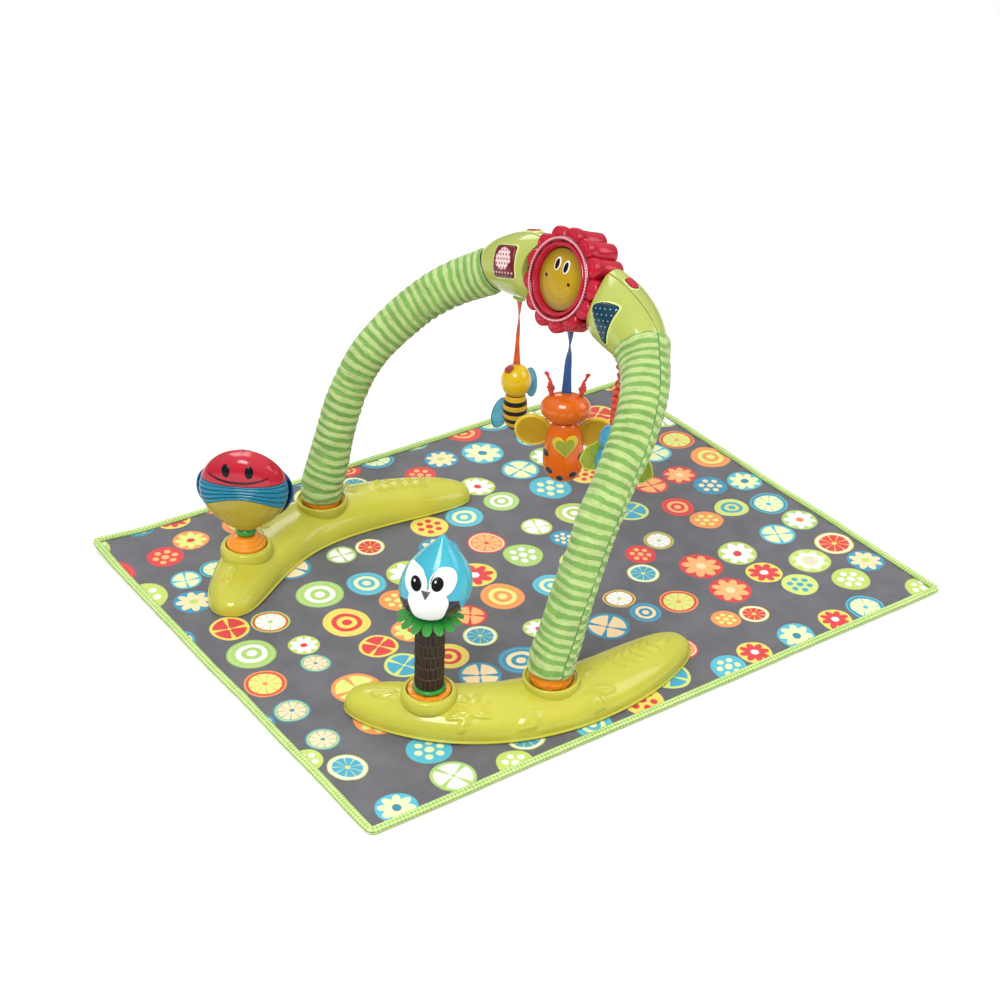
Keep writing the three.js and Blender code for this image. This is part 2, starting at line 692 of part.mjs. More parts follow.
// A slice with a curved upper edge and its point below, grown outwards by a margin.
function slice(width, height, margin) {
  const radius = 3 + margin;
  const hub = -height / 2 + 3;
  const top = height - 6;
  const spread = Math.asin((width / 2 - 3) / top);
  const shape = new THREE.Shape();
  const corner = (angle) => [top * Math.sin(angle), hub + top * Math.cos(angle)];
  shape.absarc(0, hub, radius, Math.PI + spread, 2 * Math.PI - spread, false);
  const [rx, ry] = corner(spread);
  shape.absarc(rx, ry, radius, -spread, Math.PI / 2 - spread, false);
  shape.absarc(0, hub, top + radius, Math.PI / 2 - spread, Math.PI / 2 + spread, false);
  shape.absarc(-rx, ry, radius, Math.PI / 2 + spread, Math.PI + spread, false);
  return shape;
}

function makeLobe(name, side, drumSpace, buttons) {
  const outer = lobeBody(side, 0);
  const hollow = lobeBody(side, -LOBE_WALL, 10, 8);
  const proud = lobeBody(side, BUTTON_RIM);
  const tall = lobeBody(side, BUTTON_STAND);
  const lining = lobeBody(side, -LOBE_WALL - SEAT_GAP, 10, 8);
  const bossZ = STRAP_TOP + RUN_GAP;
  const boss = block(BOSS_WIDTH, BOSS_LENGTH, 24, STRAP_X, side * STRAP_Y, bossZ + 12);
  let skin = join(outer, boss);
  let [holes, caps] = [[], []];
  for (const { label, colour, y, angle, outline, turn = 0 } of buttons) {
    const frame = skinFrame(side, y, angle).multiply(new THREE.Matrix4().makeRotationZ(turn));
    const column = (margin, from, to) =>
      plate(outline(margin), to - from, from, 2).applyMatrix4(frame);
    skin = join(skin, common(column(BUTTON_RIM_WIDTH, -12, 12), proud));
    holes.push(column(RUN_GAP, -16, 14));
    const cap = cut(common(column(0, -12, 14), tall), lobeBody(side, BUTTON_STAND - BUTTON_THICK));
    caps.push({ label, colour, cap });
  }
  const shell = cut(skin, hollow, drumSpace, ...holes);
  const half = (way) => {
    const size = 400;
    const middle = LOBE_PARTING_X + way * (size / 2 + SEAT_GAP / 2);
    return block(size, size, size, middle, 0, ARCH_HEIGHT);
  };
  piece(`${name}_lobe_front`, common(shell, half(-1)), COLOUR.limeLobe, GLOSS);
  piece(`${name}_lobe_rear`, common(shell, half(1)), COLOUR.limeLobe, GLOSS);
  for (const { label, colour, cap } of caps) piece(label, cap, colour, GLOSS);
  const [main] = buttons;
  const frame = skinFrame(side, main.y, main.angle)
    .multiply(new THREE.Matrix4().makeRotationZ(main.turn ?? 0));
  const depth = -(BUTTON_THICK - BUTTON_STAND) - BUTTON_TRAVEL - 8.3 - CARRIER_THICK;
  const foot = (x, y) => block(5, 5, 30, x, y, depth + 15 + CARRIER_THICK / 2);
  const tray = join(
    block(46, 30, CARRIER_THICK, 0, 0, depth + CARRIER_THICK / 2),
    foot(-20.4, -12),
    foot(20.4, -12),
    foot(-20.4, 12),
    foot(20.4, 12),
  ).applyMatrix4(frame);
  piece(`${name}_switch_carrier`, common(tray, lining), COLOUR.white, SATIN);
}

// Flower: petals, drum, lens and what the drum holds, in a frame that faces forwards and up

const flowerFrame = new THREE.Matrix4().makeBasis(
  vec(0, -1, 0),
  vec(Math.sin(FLOWER_TILT), 0, Math.cos(FLOWER_TILT)),
  vec(-Math.cos(FLOWER_TILT), 0, Math.sin(FLOWER_TILT)),
).setPosition(vec(FLOWER_X, 0, FLOWER_Z));

// The outer edge of a ring of round petals, as a radius for each angle.
function petalRadius(angle) {
  const span = (2 * Math.PI) / PETALS;
  const off = angle - span * Math.round(angle / span);
  const side = PETAL_CENTRE_R * Math.sin(off);
  return PETAL_CENTRE_R * Math.cos(off) + Math.sqrt(PETAL_R ** 2 - side ** 2);
}

function petalLoop(z, scale, grow = 0, perPetal = 4) {
  const count = PETALS * perPetal;
  return steps(count, (j) => {
    const angle = (j / count) * 2 * Math.PI;
    const radius = petalRadius(angle) * scale + grow;
    return vec(radius * Math.sin(angle), radius * Math.cos(angle), z);
  });
}

function makeFlower() {
  const flower = new THREE.Group();
  flowerFrame.decompose(flower.position, flower.quaternion, flower.scale);
  gym.add(flower);
  const count = PETALS * 4;
  const round = (radius, z) => circleLoop(radius, z, count).map((p) => vec(p.y, p.x, p.z));
  const bezel = loft([
    petalLoop(-BEZEL_DEPTH, 0.98),
    petalLoop(-4, 1),
    petalLoop(-1.5, 0.93),
    round(RING_R, -1),
    round(RING_R - 1.5, RING_RISE),
    round(LENS_R + 3, RING_RISE),
    round(LENS_R + LENS_PLAY, -BEZEL_DEPTH),
  ], true);
  piece('petal_bezel', bezel, COLOUR.red, GLOSS, flower);
  const front = -BEZEL_DEPTH - SEAT_GAP;
  const back = -DRUM_DEPTH;
  const drum = loft([
    petalLoop(back + DRUM_WALL, DRUM_SHRINK, -DRUM_WALL),
    petalLoop(front, DRUM_SHRINK, -DRUM_WALL),
    petalLoop(front, DRUM_SHRINK),
    petalLoop(back, DRUM_SHRINK, -1),
  ]);
  const opening = plate(roundedBox(DOOR_WIDTH, DOOR_HEIGHT, 5), 20, back - 10, 3);
  const bossTop = STRAP_TOP + RUN_GAP;
  const boss = block(BOSS_WIDTH, BOSS_LENGTH, 9, MIDDLE_STRAP_X, 0, bossTop + 4.5)
    .applyMatrix4(flowerFrame.clone().invert());
  const core = loft([
    petalLoop(back + DRUM_WALL, DRUM_SHRINK, -DRUM_WALL),
    petalLoop(front + 1, DRUM_SHRINK, -DRUM_WALL),
  ]);
  piece('drum_shell', cut(join(drum, cut(boss, core)), opening), COLOUR.red, GLOSS, flower);
  const doorShape = roundedBox(DOOR_WIDTH - 2 * SEAT_GAP, DOOR_HEIGHT - 2 * SEAT_GAP, 4.7);
  piece('battery_door', plate(doorShape, DRUM_WALL, back, 3), COLOUR.red, SATIN, flower);
  const lens = turned([
    [0, -BEZEL_DEPTH + 1],
    [LENS_R, -BEZEL_DEPTH + 1],
    [LENS_R, -5],
    [LENS_R * 0.8, -3.2],
    [LENS_R * 0.45, -1.6],
    [0, -1],
  ], 22);
  piece('face_lens', lens, COLOUR.yellow, GLOSS, flower);
  const boardFront = front - 3;
  const valley = petalRadius(Math.PI / PETALS) * DRUM_SHRINK - DRUM_WALL;
  const board = turned([
    [0, boardFront - BOARD_THICK],
    [valley - SEAT_GAP, boardFront - BOARD_THICK],
    [valley - SEAT_GAP, boardFront],
    [0, boardFront],
  ], 14);
  piece('circuit_board', board, COLOUR.board, SATIN, flower);
  const speakerTop = boardFront - BOARD_THICK - SEAT_GAP;
  const speaker = turned([
    [0, speakerTop - SPEAKER_DEPTH],
    [SPEAKER_R * 0.55, speakerTop - SPEAKER_DEPTH],
    [SPEAKER_R, speakerTop - 3],
    [SPEAKER_R, speakerTop],
    [0, speakerTop],
  ], 14);
  piece('speaker', speaker, COLOUR.steel, METAL, flower);
  const batteryZ = back + DRUM_WALL + SEAT_GAP + BATTERY_DIA / 2;
  for (const [i, way] of [[1, 1], [2, -1]]) {
    const cell = turned([
      [0, -BATTERY_LENGTH / 2],
      [BATTERY_DIA / 2, -BATTERY_LENGTH / 2],
      [BATTERY_DIA / 2, BATTERY_LENGTH / 2 - 1.5],
      [2.7, BATTERY_LENGTH / 2 - 1.5],
      [2.7, BATTERY_LENGTH / 2],
      [0, BATTERY_LENGTH / 2],
    ], 14).rotateY((way * Math.PI) / 2);
    const y = way * (BATTERY_DIA / 2 + SEAT_GAP);
    piece(`battery_${i}`, cell.translate(0, y, batteryZ), COLOUR.battery, METAL, flower);
  }
}

function drumSpace() {
  const wide = PETAL_CENTRE_R + PETAL_R + 2 * RUN_GAP;
  const narrow = wide * DRUM_SHRINK;
  const edge = -BEZEL_DEPTH - SEAT_GAP;
  const back = -DRUM_DEPTH - SEAT_GAP;
  const profile = [[0, back], [narrow, back], [narrow, edge], [wide, edge + 1], [wide, 40], [0, 40]];
  return turned(profile, 22).applyMatrix4(flowerFrame);
}

// Hanging toys: each a ribbon below the crown and a toy below the ribbon

// The ribbon is sewn in square to the arch and twists until it faces the way its toy faces.
function makeStrap(name, x, y, width, colour) {
  const loops = steps(9, (i) => {
    const share = i / 8;
    const half = (width / 2) * (1 - 0.45 * Math.sin(share * Math.PI));
    const turn = blendTo(Math.PI / 2, TOY_TURN, share);
    const z = blendTo(STRAP_TOP, STRAP_BOTTOM, share);
    return [[half, 1], [-half, 1], [-half, -1], [half, -1]].map(([u, side]) =>
      vec(u, (side * STRAP_THICK) / 2, 0).applyAxisAngle(vec(0, 0, 1), turn).add(vec(x, y, z)));
  });
  piece(name, loft(loops), colour, CLOTH);
  return placed(gym, x, y, STRAP_BOTTOM - SEAT_GAP, TOY_TURN);
}

// A rounded body of stacked ovals: rows of [height, half width, half depth, shift].
function stacked(rows, count = 16) {
  return loft(rows.map(([z, halfX, halfY, x = 0, y = 0]) => ovalLoop(halfX, halfY, z, count, x, y)));
}

function ball(radiusX, radiusY, radiusZ, z, rings = 7, count = 12) {
  const rows = steps(rings, (i) => {
    const angle = (i / (rings - 1) - 0.5) * Math.PI;
    const swell = Math.max(Math.cos(angle), 0.16);
    return [z + radiusZ * Math.sin(angle), radiusX * swell, radiusY * swell];
  });
  return stacked(rows, count);
}

// A soft or moulded wing: a plate in the XZ plane with rounded faces.
function wing(width, height, thick, x, y, z, lean, notch = 0) {
  const count = 14;
  const outline = (shrink, depth) => steps(count, (j) => {
    const angle = (j / count) * 2 * Math.PI;
    const dent = 1 - notch * Math.max(0, Math.cos(angle * 2 + Math.PI)) ** 4;
    const u = (width / 2 - shrink) * Math.cos(angle) * dent;
    const v = (height / 2 - shrink) * Math.sin(angle);
    const p = vec(u, depth, v).applyAxisAngle(vec(0, 1, 0), lean);
    return p.add(vec(x, y, z));
  });
  const half = thick / 2;
  return loft([outline(thick * 0.8, -half), outline(0, -half * 0.3), outline(0, half * 0.3),
    outline(thick * 0.8, half)]);
}

function makeBee(group) {
  const headZ = -BEE_HEAD_HALF_HEIGHT;
  const head = (grow) =>
    ball(BEE_HEAD_R + grow, BEE_HEAD_R + grow, BEE_HEAD_HALF_HEIGHT + grow, headZ);
  piece('bee_head', head(0), COLOUR.beeYellow, GLOSS, group);
  const top = headZ - BEE_HEAD_HALF_HEIGHT + 4;
  const rows = [[0, 0.72], [0.1, 0.86], [0.3, 1], [0.55, 0.98], [0.75, 0.8], [0.9, 0.5], [1, 0.12]];
  const body = (grow) => stacked(rows.map(([share, swell]) => {
    const radius = BEE_BODY_R * swell + grow;
    return [top - share * BEE_BODY_LENGTH, radius, radius];
  }), 12);
  piece('bee_body', cut(body(0), head(0.4)), COLOUR.beeStripe, CLOTH, group);
  const wingZ = top - 14;
  for (const [name, way, y, drop] of [['left', -1, 9, 18], ['right', 1, 12, -24]]) {
    const x = way * (BEE_BODY_R + BEE_WING_WIDTH / 2 - 7);
    const z = wingZ - drop;
    const pad = wing(BEE_WING_WIDTH, BEE_WING_LENGTH, BEE_WING_THICK, x, y, z, -way * 0.25, 0.12);
    piece(`bee_${name}_wing`, cut(pad, body(0.4), head(0.4)), COLOUR.wingBlue, CLOTH, group);
  }
}

function flyBody(grow) {
  const top = -2 * FLY_HEAD_HALF_HEIGHT + 2;
  const rows = [[0, 0.5], [0.06, 0.64], [0.2, 0.84], [0.4, 0.96], [0.62, 1], [0.8, 0.92], [0.92, 0.7],
    [1, 0.32]];
  return stacked(rows.map(([share, swell]) => {
    const radius = FLY_BODY_R * swell + grow;
    return [top - share * FLY_BODY_LENGTH, radius, radius * 0.92];
  }), 14);
}

function heartShape(width) {
  const r = width / 4;
  const shape = new THREE.Shape();
  shape.moveTo(0, -width * 0.5);
  shape.quadraticCurveTo(width * 0.46, -width * 0.12, 2 * r, r * 0.6);
  shape.absarc(r, r * 0.6, r, 0, Math.PI, false);
  shape.absarc(-r, r * 0.6, r, 0, Math.PI, false);
  shape.quadraticCurveTo(-width * 0.46, -width * 0.12, 0, -width * 0.5);
  return shape;
}

function makeButterfly(group) {
  const headZ = -FLY_HEAD_HALF_HEIGHT;
  const head = (grow) =>
    ball(FLY_HEAD_HALF_WIDTH + grow, FLY_HEAD_HALF_DEPTH + grow, FLY_HEAD_HALF_HEIGHT + grow, headZ, 7, 14);
  piece('butterfly_head', head(0), COLOUR.butterfly, GLOSS, group);
  piece('butterfly_body', cut(flyBody(0), head(0.4)), COLOUR.butterfly, GLOSS, group);
  for (const [name, way] of [['left', -1], ['right', 1]]) {
    const wingZ = headZ - FLY_HEAD_HALF_HEIGHT - FLY_WING_DROP;
    const span = 2 * FLY_WING_R;
    const disc = wing(span, span - 4, FLY_WING_THICK, way * FLY_WING_X, 11, wingZ, -way * 0.3);
    piece(`butterfly_${name}_wing`, cut(disc, flyBody(0.4), head(0.4)), COLOUR.mustard, GLOSS, group);
    const rows = [[0, 0.35], [0.15, 0.75], [0.4, 1], [0.62, 0.75], [0.75, 0.35], [0.85, 0.55], [0.95, 0.3]];
    const foot = headZ + FLY_HEAD_HALF_HEIGHT - 5;
    const ribbon = stacked(rows.map(([share, swell]) => {
      const lean = way * (ANTENNA_X + 4 * share);
      return [foot + share * ANTENNA_LENGTH, ANTENNA_R * swell, ANTENNA_R * swell * 0.7, lean];
    }), 8);
    piece(`butterfly_${name}_antenna`, cut(ribbon, head(0.4)), COLOUR.ribbonRed, CLOTH, group);
  }
  const heart = plate(heartShape(HEART_WIDTH), 60, 0, 4).rotateX(Math.PI / 2);
  const heartZ = headZ - FLY_HEAD_HALF_HEIGHT - HEART_DROP;
  const patch = common(heart.translate(2, 0, heartZ), flyBody(HEART_THICK + SEAT_GAP));
  piece('butterfly_heart', cut(patch, flyBody(SEAT_GAP + 0.1)), COLOUR.olive, GLOSS, group);
}

function makeBeetle(group) {
  const headZ = -BEETLE_HEAD_R;
  const head = (grow) => {
    const radius = BEETLE_HEAD_R + grow;
    return ball(radius, radius, radius, headZ);
  };
  piece('beetle_head', head(0), COLOUR.turquoise, GLOSS, group);
  const bodyZ = headZ - BEETLE_HEAD_R - BEETLE_BODY_R + 8;
  const body = (grow) => {
    const radius = BEETLE_BODY_R + grow;
    return ball(radius, radius * 0.9, radius * 1.15, bodyZ);
  };
  piece('beetle_body', cut(body(0), head(0.4)), COLOUR.turquoise, GLOSS, group);
  const wings = [
    ['left', -BEETLE_BODY_R - 5, bodyZ + 4, BEETLE_WING_WIDTH, BEETLE_WING_LENGTH, 0.4],
    ['right', BEETLE_BODY_R + 9, bodyZ - 8, BEETLE_LONG_WING_WIDTH, BEETLE_LONG_WING_LENGTH, -0.55],
  ];
  for (const [name, x, z, width, length, lean] of wings) {
    const leaf = wing(width, length, BEETLE_WING_THICK, x, 4, z, lean, 0.1);
    piece(`beetle_${name}_wing`, cut(leaf, body(0.4), head(0.4)), COLOUR.olive, CLOTH, group);
  }
}

// Standing toys: a bird that turns on its trunk and a round face that turns on a bead

function toyPlug(stack, notches) {
  const bottom = SOCKET_TOP - SOCKET_DEPTH + SEAT_GAP;
  const body = turned([
    [0, bottom],
    [PLUG_R - 2, bottom],
    [PLUG_R, bottom + 2],
    [PLUG_R, SOCKET_TOP - 1.5],
    ...stack,
  ], 16);
  const slots = steps(notches, (i) =>
    block(30, 1.4, 1.6, 17, 0, SOCKET_TOP + 1.6).rotateZ(((i + 0.5) / notches) * 2 * Math.PI));
  return notches ? cut(body, ...slots) : body;
}

function birdRows(grow) {
  const bottom = COLLAR_TOP + RUN_GAP;
  const rows = [[0, 0.42], [0.05, 0.68], [0.15, 0.9], [0.31, 1], [0.46, 0.95], [0.6, 0.79],
    [0.74, 0.54], [0.88, 0.24], [0.985, 0.04]];
  return rows.map(([share, swell]) => {
    const radius = BIRD_R * swell + grow;
    return [bottom + BIRD_HEIGHT * share, radius, radius, BIRD_TIP_LEAN * share ** 0.75];
  });
}

function makeBird(group) {
  const plugTop = SOCKET_TOP + 2;
  const stack = [[PLUG_R, plugTop - 0.5], [PLUG_R - 1.5, plugTop], [0, plugTop]];
  piece('bird_plug', toyPlug(stack, 8), COLOUR.orange, GLOSS, group);
  const ringFoot = plugTop + SEAT_GAP;
  const ring = turned([[0, ringFoot], [TRUNK_R + 1, ringFoot], [TRUNK_R + 2.2, ringFoot + 2.2],
    [TRUNK_R + 1, TRUNK_FOOT - SEAT_GAP], [0, TRUNK_FOOT - SEAT_GAP]], 14);
  piece('trunk_ring', ring, COLOUR.leaf, GLOSS, group);
  const course = (TRUNK_TOP - TRUNK_FOOT) / TRUNK_COURSES;
  const bricks = steps(TRUNK_COURSES, (i) => {
    const z = TRUNK_FOOT + i * course;
    return [[TRUNK_R - 1, z], [TRUNK_R, z + 0.8], [TRUNK_R, z + course - 0.8], [TRUNK_R - 1, z + course]];
  }).flat();
  const spindleTop = COLLAR_TOP + SPINDLE_LENGTH;
  const trunk = turned([[0, TRUNK_FOOT], ...bricks.filter((p, i) => i % 4 !== 3 || i === bricks.length - 1),
    [SPINDLE_R, TRUNK_TOP], [SPINDLE_R, spindleTop], [0, spindleTop]], 12);
  piece('bird_trunk', trunk, COLOUR.trunk, SATIN, group);
  const leafLoop = (low, high, z, droop) => steps(COLLAR_LEAVES * 3, (j) => {
    const angle = ((j + 0.5) / (COLLAR_LEAVES * 3)) * 2 * Math.PI;
    const tip = j % 3 === 1 ? 1 : 0.3;
    const radius = blendTo(low, high, tip);
    return vec(radius * Math.cos(angle), radius * Math.sin(angle), z - droop * tip);
  });
  const hole = SPINDLE_R + SEAT_GAP;
  const heel = 0.7 * COLLAR_R; // between the leaves
  const collar = loft([
    leafLoop(hole, hole, COLLAR_TOP, 0),
    leafLoop(TRUNK_R + 2, TRUNK_R + 3, COLLAR_TOP, 0),
    leafLoop(heel, COLLAR_R, COLLAR_TOP - 3.5, LEAF_DROOP),
    leafLoop(heel - 0.6, COLLAR_R - 0.8, COLLAR_TOP - 3.5 - LEAF_THICK, LEAF_DROOP),
    leafLoop(TRUNK_R, TRUNK_R, TRUNK_TOP + SEAT_GAP, 0),
    leafLoop(hole, hole, TRUNK_TOP + SEAT_GAP, 0),
  ], true);
  piece('leaf_collar', collar, COLOUR.leaf, GLOSS, group);
  const boreFoot = TRUNK_TOP - 8;
  const bore = turned([[0, boreFoot], [SPINDLE_R + RUN_GAP, boreFoot],
    [SPINDLE_R + RUN_GAP, spindleTop + RUN_GAP], [0, spindleTop + RUN_GAP]], 16);
  piece('bird_head_shell', cut(stacked(birdRows(0), 16), bore), COLOUR.turquoise, GLOSS, group);
  const deep = 2 * BIRD_R;
  const lobe = (x, rise, radius) =>
    turned([[0, 0], [radius, 0], [radius, deep], [0, deep]], 14).rotateX(Math.PI / 2)
      .translate(x, 0, COLLAR_TOP + RUN_GAP + rise);
  const mask = join(
    lobe(BIRD_FACE_X - BIRD_EYE_X, BIRD_EYE_RISE, BIRD_EYE_R),
    lobe(BIRD_FACE_X + BIRD_EYE_X, BIRD_EYE_RISE, BIRD_EYE_R),
    lobe(BIRD_FACE_X, BIRD_CHEEK_RISE, BIRD_CHEEK_R),
  );
  const proud = stacked(birdRows(2 * SEAT_GAP + BIRD_FACE_THICK), 16);
  const face = cut(common(proud, mask), stacked(birdRows(2 * SEAT_GAP), 16));
  const trim = block(2 * deep, 2 * deep, 40, 0, 0, COLLAR_TOP + 3 - 20);
  piece('bird_face_shell', cut(face, trim), COLOUR.white, GLOSS, group);
}

// The round face: an oval that widens from the neck and domes over at the top.
function spinnerRows(rows) {
  return rows.map(([share, swell]) => {
    const width = SPINNER_HALF_WIDTH * swell;
    const deep = Math.sqrt(Math.max(swell, 0.1));
    return circleLoop(1, 0, 20).map((p) => {
      const depth = (p.y < 0 ? SPINNER_FRONT : SPINNER_BACK) * deep;
      return vec(bent(p.x, 0.9) * width, bent(p.y, 0.9) * depth, SPINNER_FOOT + share * SPINNER_HEIGHT);
    });
  });
}

// Everything of the round face below the arched seam between its belly and its band.
function belowSeam(grow) {
  const count = 12;
  const reach = SPINNER_HALF_WIDTH + 6;
  const crown = SPINNER_FOOT + BAND_BOTTOM + grow;
  return loft(steps(count + 1, (i) => {
    const x = blendTo(-reach, reach, i / count);
    const z = crown - SEAM_DROP * (x / SPINNER_HALF_WIDTH) ** 2;
    return [vec(x, -reach, 0), vec(x, reach, 0), vec(x, reach, z), vec(x, -reach, z)];
  }));
}

function makeSpinner(group) {
  const seat = SOCKET_TOP;
  const stack = [[PLUG_R, seat + 4], [PLUG_R - 1, seat + 5], [19.5, seat + 6], [19.5, seat + 8],
    [18.5, seat + 8.8], [15.5, seat + 9.6], [15.5, seat + 12], [14.5, BEAD_FOOT - SEAT_GAP],
    [0, BEAD_FOOT - SEAT_GAP]];
  piece('spinner_plug', toyPlug(stack, 0), COLOUR.orange, GLOSS, group);
  const neckTop = BEAD_FOOT + BEAD_HEIGHT + 20;
  const neck = turned([[0, BEAD_FOOT], [7, BEAD_FOOT], [10.6, BEAD_FOOT + 2], [BEAD_R, BEAD_FOOT + 5.5],
    [10.6, BEAD_FOOT + 9], [7, BEAD_FOOT + BEAD_HEIGHT], [SPINDLE_R, BEAD_FOOT + BEAD_HEIGHT],
    [SPINDLE_R, neckTop], [0, neckTop]], 14);
  piece('spinner_neck', neck, COLOUR.leaf, GLOSS, group);
  const boreFoot = BEAD_FOOT + 5;
  const bore = turned([[0, boreFoot], [SPINDLE_R + RUN_GAP, boreFoot],
    [SPINDLE_R + RUN_GAP, neckTop + RUN_GAP], [0, neckTop + RUN_GAP]], 16);
  const room = 4 * SPINNER_HALF_WIDTH;
  const middle = SPINNER_FOOT + SPINNER_HEIGHT / 2;
  const half = (way) =>
    block(room, room, room, 0, SPINNER_PARTING + way * (room / 2 + SEAT_GAP / 2), middle);
  const front = common(cut(loft(spinnerRows(FACE_ROWS)), bore), half(-1));
  const above = (base) => block(room, room, room, 0, 0, SPINNER_FOOT + base + room / 2);
  piece('spinner_belly', common(front, belowSeam(-SEAT_GAP / 2)), COLOUR.mustard, GLOSS, group);
  const band = cut(front, belowSeam(SEAT_GAP / 2), above(BAND_TOP - SEAT_GAP / 2));
  piece('spinner_band', band, COLOUR.turquoise, GLOSS, group);
  piece('spinner_face', common(front, above(BAND_TOP + SEAT_GAP / 2)), COLOUR.red, GLOSS, group);
  const back = common(cut(loft(spinnerRows(BACK_ROWS)), bore), half(1));
  piece('spinner_back_shell', back, COLOUR.royal, GLOSS, group);
}

// Assembly

makeMat();
const leftToy = makeBase('left', 1);
const rightToy = makeBase('right', -1);
makeLeg('left', 1);
makeLeg('right', -1);
makeFlower();

const grownBox = (width, height, radius) => (margin) =>
  roundedBox(width + 2 * margin, height + 2 * margin, radius + margin);
const topButton = (label) => ({
  label,
  colour: COLOUR.red,
  y: TOP_BUTTON_Y,
  angle: TOP_BUTTON_ANGLE,
  outline: grownBox(TOP_BUTTON_WIDTH, TOP_BUTTON_HEIGHT, 5),
});
makeLobe('left', 1, drumSpace(), [
  {
    label: 'melody_button',
    colour: COLOUR.crimson,
    y: BUTTON_Y,
    angle: BUTTON_ANGLE,
    outline: grownBox(MELODY_WIDTH, MELODY_HEIGHT, 3),
  },
  topButton('volume_button'),
]);
makeLobe('right', -1, drumSpace(), [
  {
    label: 'rhythm_button',
    colour: COLOUR.navy,
    y: RHYTHM_Y,
    angle: RHYTHM_ANGLE,
    turn: RHYTHM_TURN,
    outline: (margin) => slice(RHYTHM_WIDTH, RHYTHM_HEIGHT, margin),
  },
  topButton('mode_button'),
]);

makeBee(makeStrap('bee_strap', STRAP_X, STRAP_Y, STRAP_WIDTH, COLOUR.ribbonOrange));
makeButterfly(makeStrap('butterfly_strap', MIDDLE_STRAP_X, 0, MIDDLE_STRAP_WIDTH, COLOUR.ribbonBlue));
makeBeetle(makeStrap('beetle_strap', STRAP_X, -STRAP_Y, BEETLE_STRAP_WIDTH, COLOUR.ribbonRed));

makeBird(placed(rightToy, 0, 0, 0, BIRD_TURN));
makeSpinner(placed(leftToy, 0, 0, 0, SPINNER_TURN));

export default part;
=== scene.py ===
"""Activity play gym: cloth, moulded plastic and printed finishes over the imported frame.

Shapes are worked out in millimetres, in the frame of the part that carries them, and become
metres when a mesh is made.
"""

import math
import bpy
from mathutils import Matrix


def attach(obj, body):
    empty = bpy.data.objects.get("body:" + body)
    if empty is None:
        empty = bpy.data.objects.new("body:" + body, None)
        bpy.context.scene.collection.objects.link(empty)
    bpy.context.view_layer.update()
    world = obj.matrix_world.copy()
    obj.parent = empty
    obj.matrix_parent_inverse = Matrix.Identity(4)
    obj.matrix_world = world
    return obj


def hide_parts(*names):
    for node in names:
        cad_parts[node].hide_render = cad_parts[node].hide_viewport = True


bl_info = {"name": "Activity play gym", "version": (1, 0, 0), "blender": (4, 5, 0),
    "location": "3D View > Sidebar > Play gym",
    "description": "Makes the mat, arch, flower unit and toys of a play gym over its frame",
    "category": "Add Mesh"}

import bpy
import numpy as np
from mathutils import Matrix

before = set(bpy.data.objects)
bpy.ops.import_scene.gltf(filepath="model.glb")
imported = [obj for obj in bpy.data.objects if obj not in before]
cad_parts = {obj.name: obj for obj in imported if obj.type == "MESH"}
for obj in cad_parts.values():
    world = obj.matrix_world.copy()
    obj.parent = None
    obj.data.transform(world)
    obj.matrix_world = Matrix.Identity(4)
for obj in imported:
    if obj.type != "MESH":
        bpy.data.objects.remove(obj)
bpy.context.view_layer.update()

MM = 0.001
TAU = 2 * math.pi
RAD = math.pi / 180

# Sizes of the frame, in millimetres
MAT_LENGTH, MAT_WIDTH, MAT_CORNER, BINDING = 810, 638, 10, 10
GYM_X, GYM_Y, GYM_TURN = -141, -23.5, 2.3 * RAD
BASE_TURN, BASE_HALF_WIDTH, BASE_HEIGHT, BASE_FLOOR = -5.2 * RAD, 43, 34, 6.3
BASE_LINE = ((-183, 120), (-92, -10), (6, -33), (197, 24))
PLAN_POWER, DOME_POWER = 2.9, 2.2
TOY_SOCKET = (-124, 47)
SOCKET_TOP, SOCKET_BALL, SOCKET_BORE, SOCKET_DEPTH = 46, 31, 22.8, 29
HALF_SPAN, SWEEP, ARCH_HEIGHT, LEG_START = 224.5, 200, 375, 56
ARCH_SHAPE = ((0, 1, 0), (0.004, 1, 0.04), (0.04, 1, 0.107), (0.105, 1, 0.245), (0.19, 0.998, 0.389),
    (0.295, 0.975, 0.52), (0.445, 0.931, 0.633), (0.61, 0.864, 0.73), (0.76, 0.771, 0.809),
    (0.9, 0.628, 0.878), (0.96, 0.499, 0.934), (1, 0, 1))
LOBE_MOUTH, LOBE_END, LOBE_FULL, LOBE_NECK = 133, 50, 66, 25
LOBE_DEPTH, LOBE_UP, LOBE_PARTING = 36, 40, 195
LOBE_SHOULDER, LOBE_SHOULDER_Y = 12, 76
FLOWER_X, FLOWER_Z, FLOWER_TILT = 171, 383.5, 18 * RAD
PETALS, PETAL_CENTRE, PETAL_R, BEZEL_DEPTH = 13, 48, 12.5, 14
DRUM_DEPTH, DRUM_SHRINK, LENS_R, RING_R = 48, 0.955, 35, 45.5
STRAP_TOP, STRAP_BOTTOM, TOY_TURN = 318, 234, -40.5 * RAD
BIRD_TURN, ROUND_FACE_TURN = -48 * RAD, -42 * RAD
SEAT_GAP, RUN_GAP = 0.3, 0.5


# Frames: four by four matrices that carry a part's own millimetres into the row frame


def shift(x, y, z):
    made = np.eye(4)
    made[:3, 3] = (x, y, z)
    return made


def turn_z(angle):
    made = np.eye(4)
    made[:2, :2] = ((math.cos(angle), -math.sin(angle)), (math.sin(angle), math.cos(angle)))
    return made


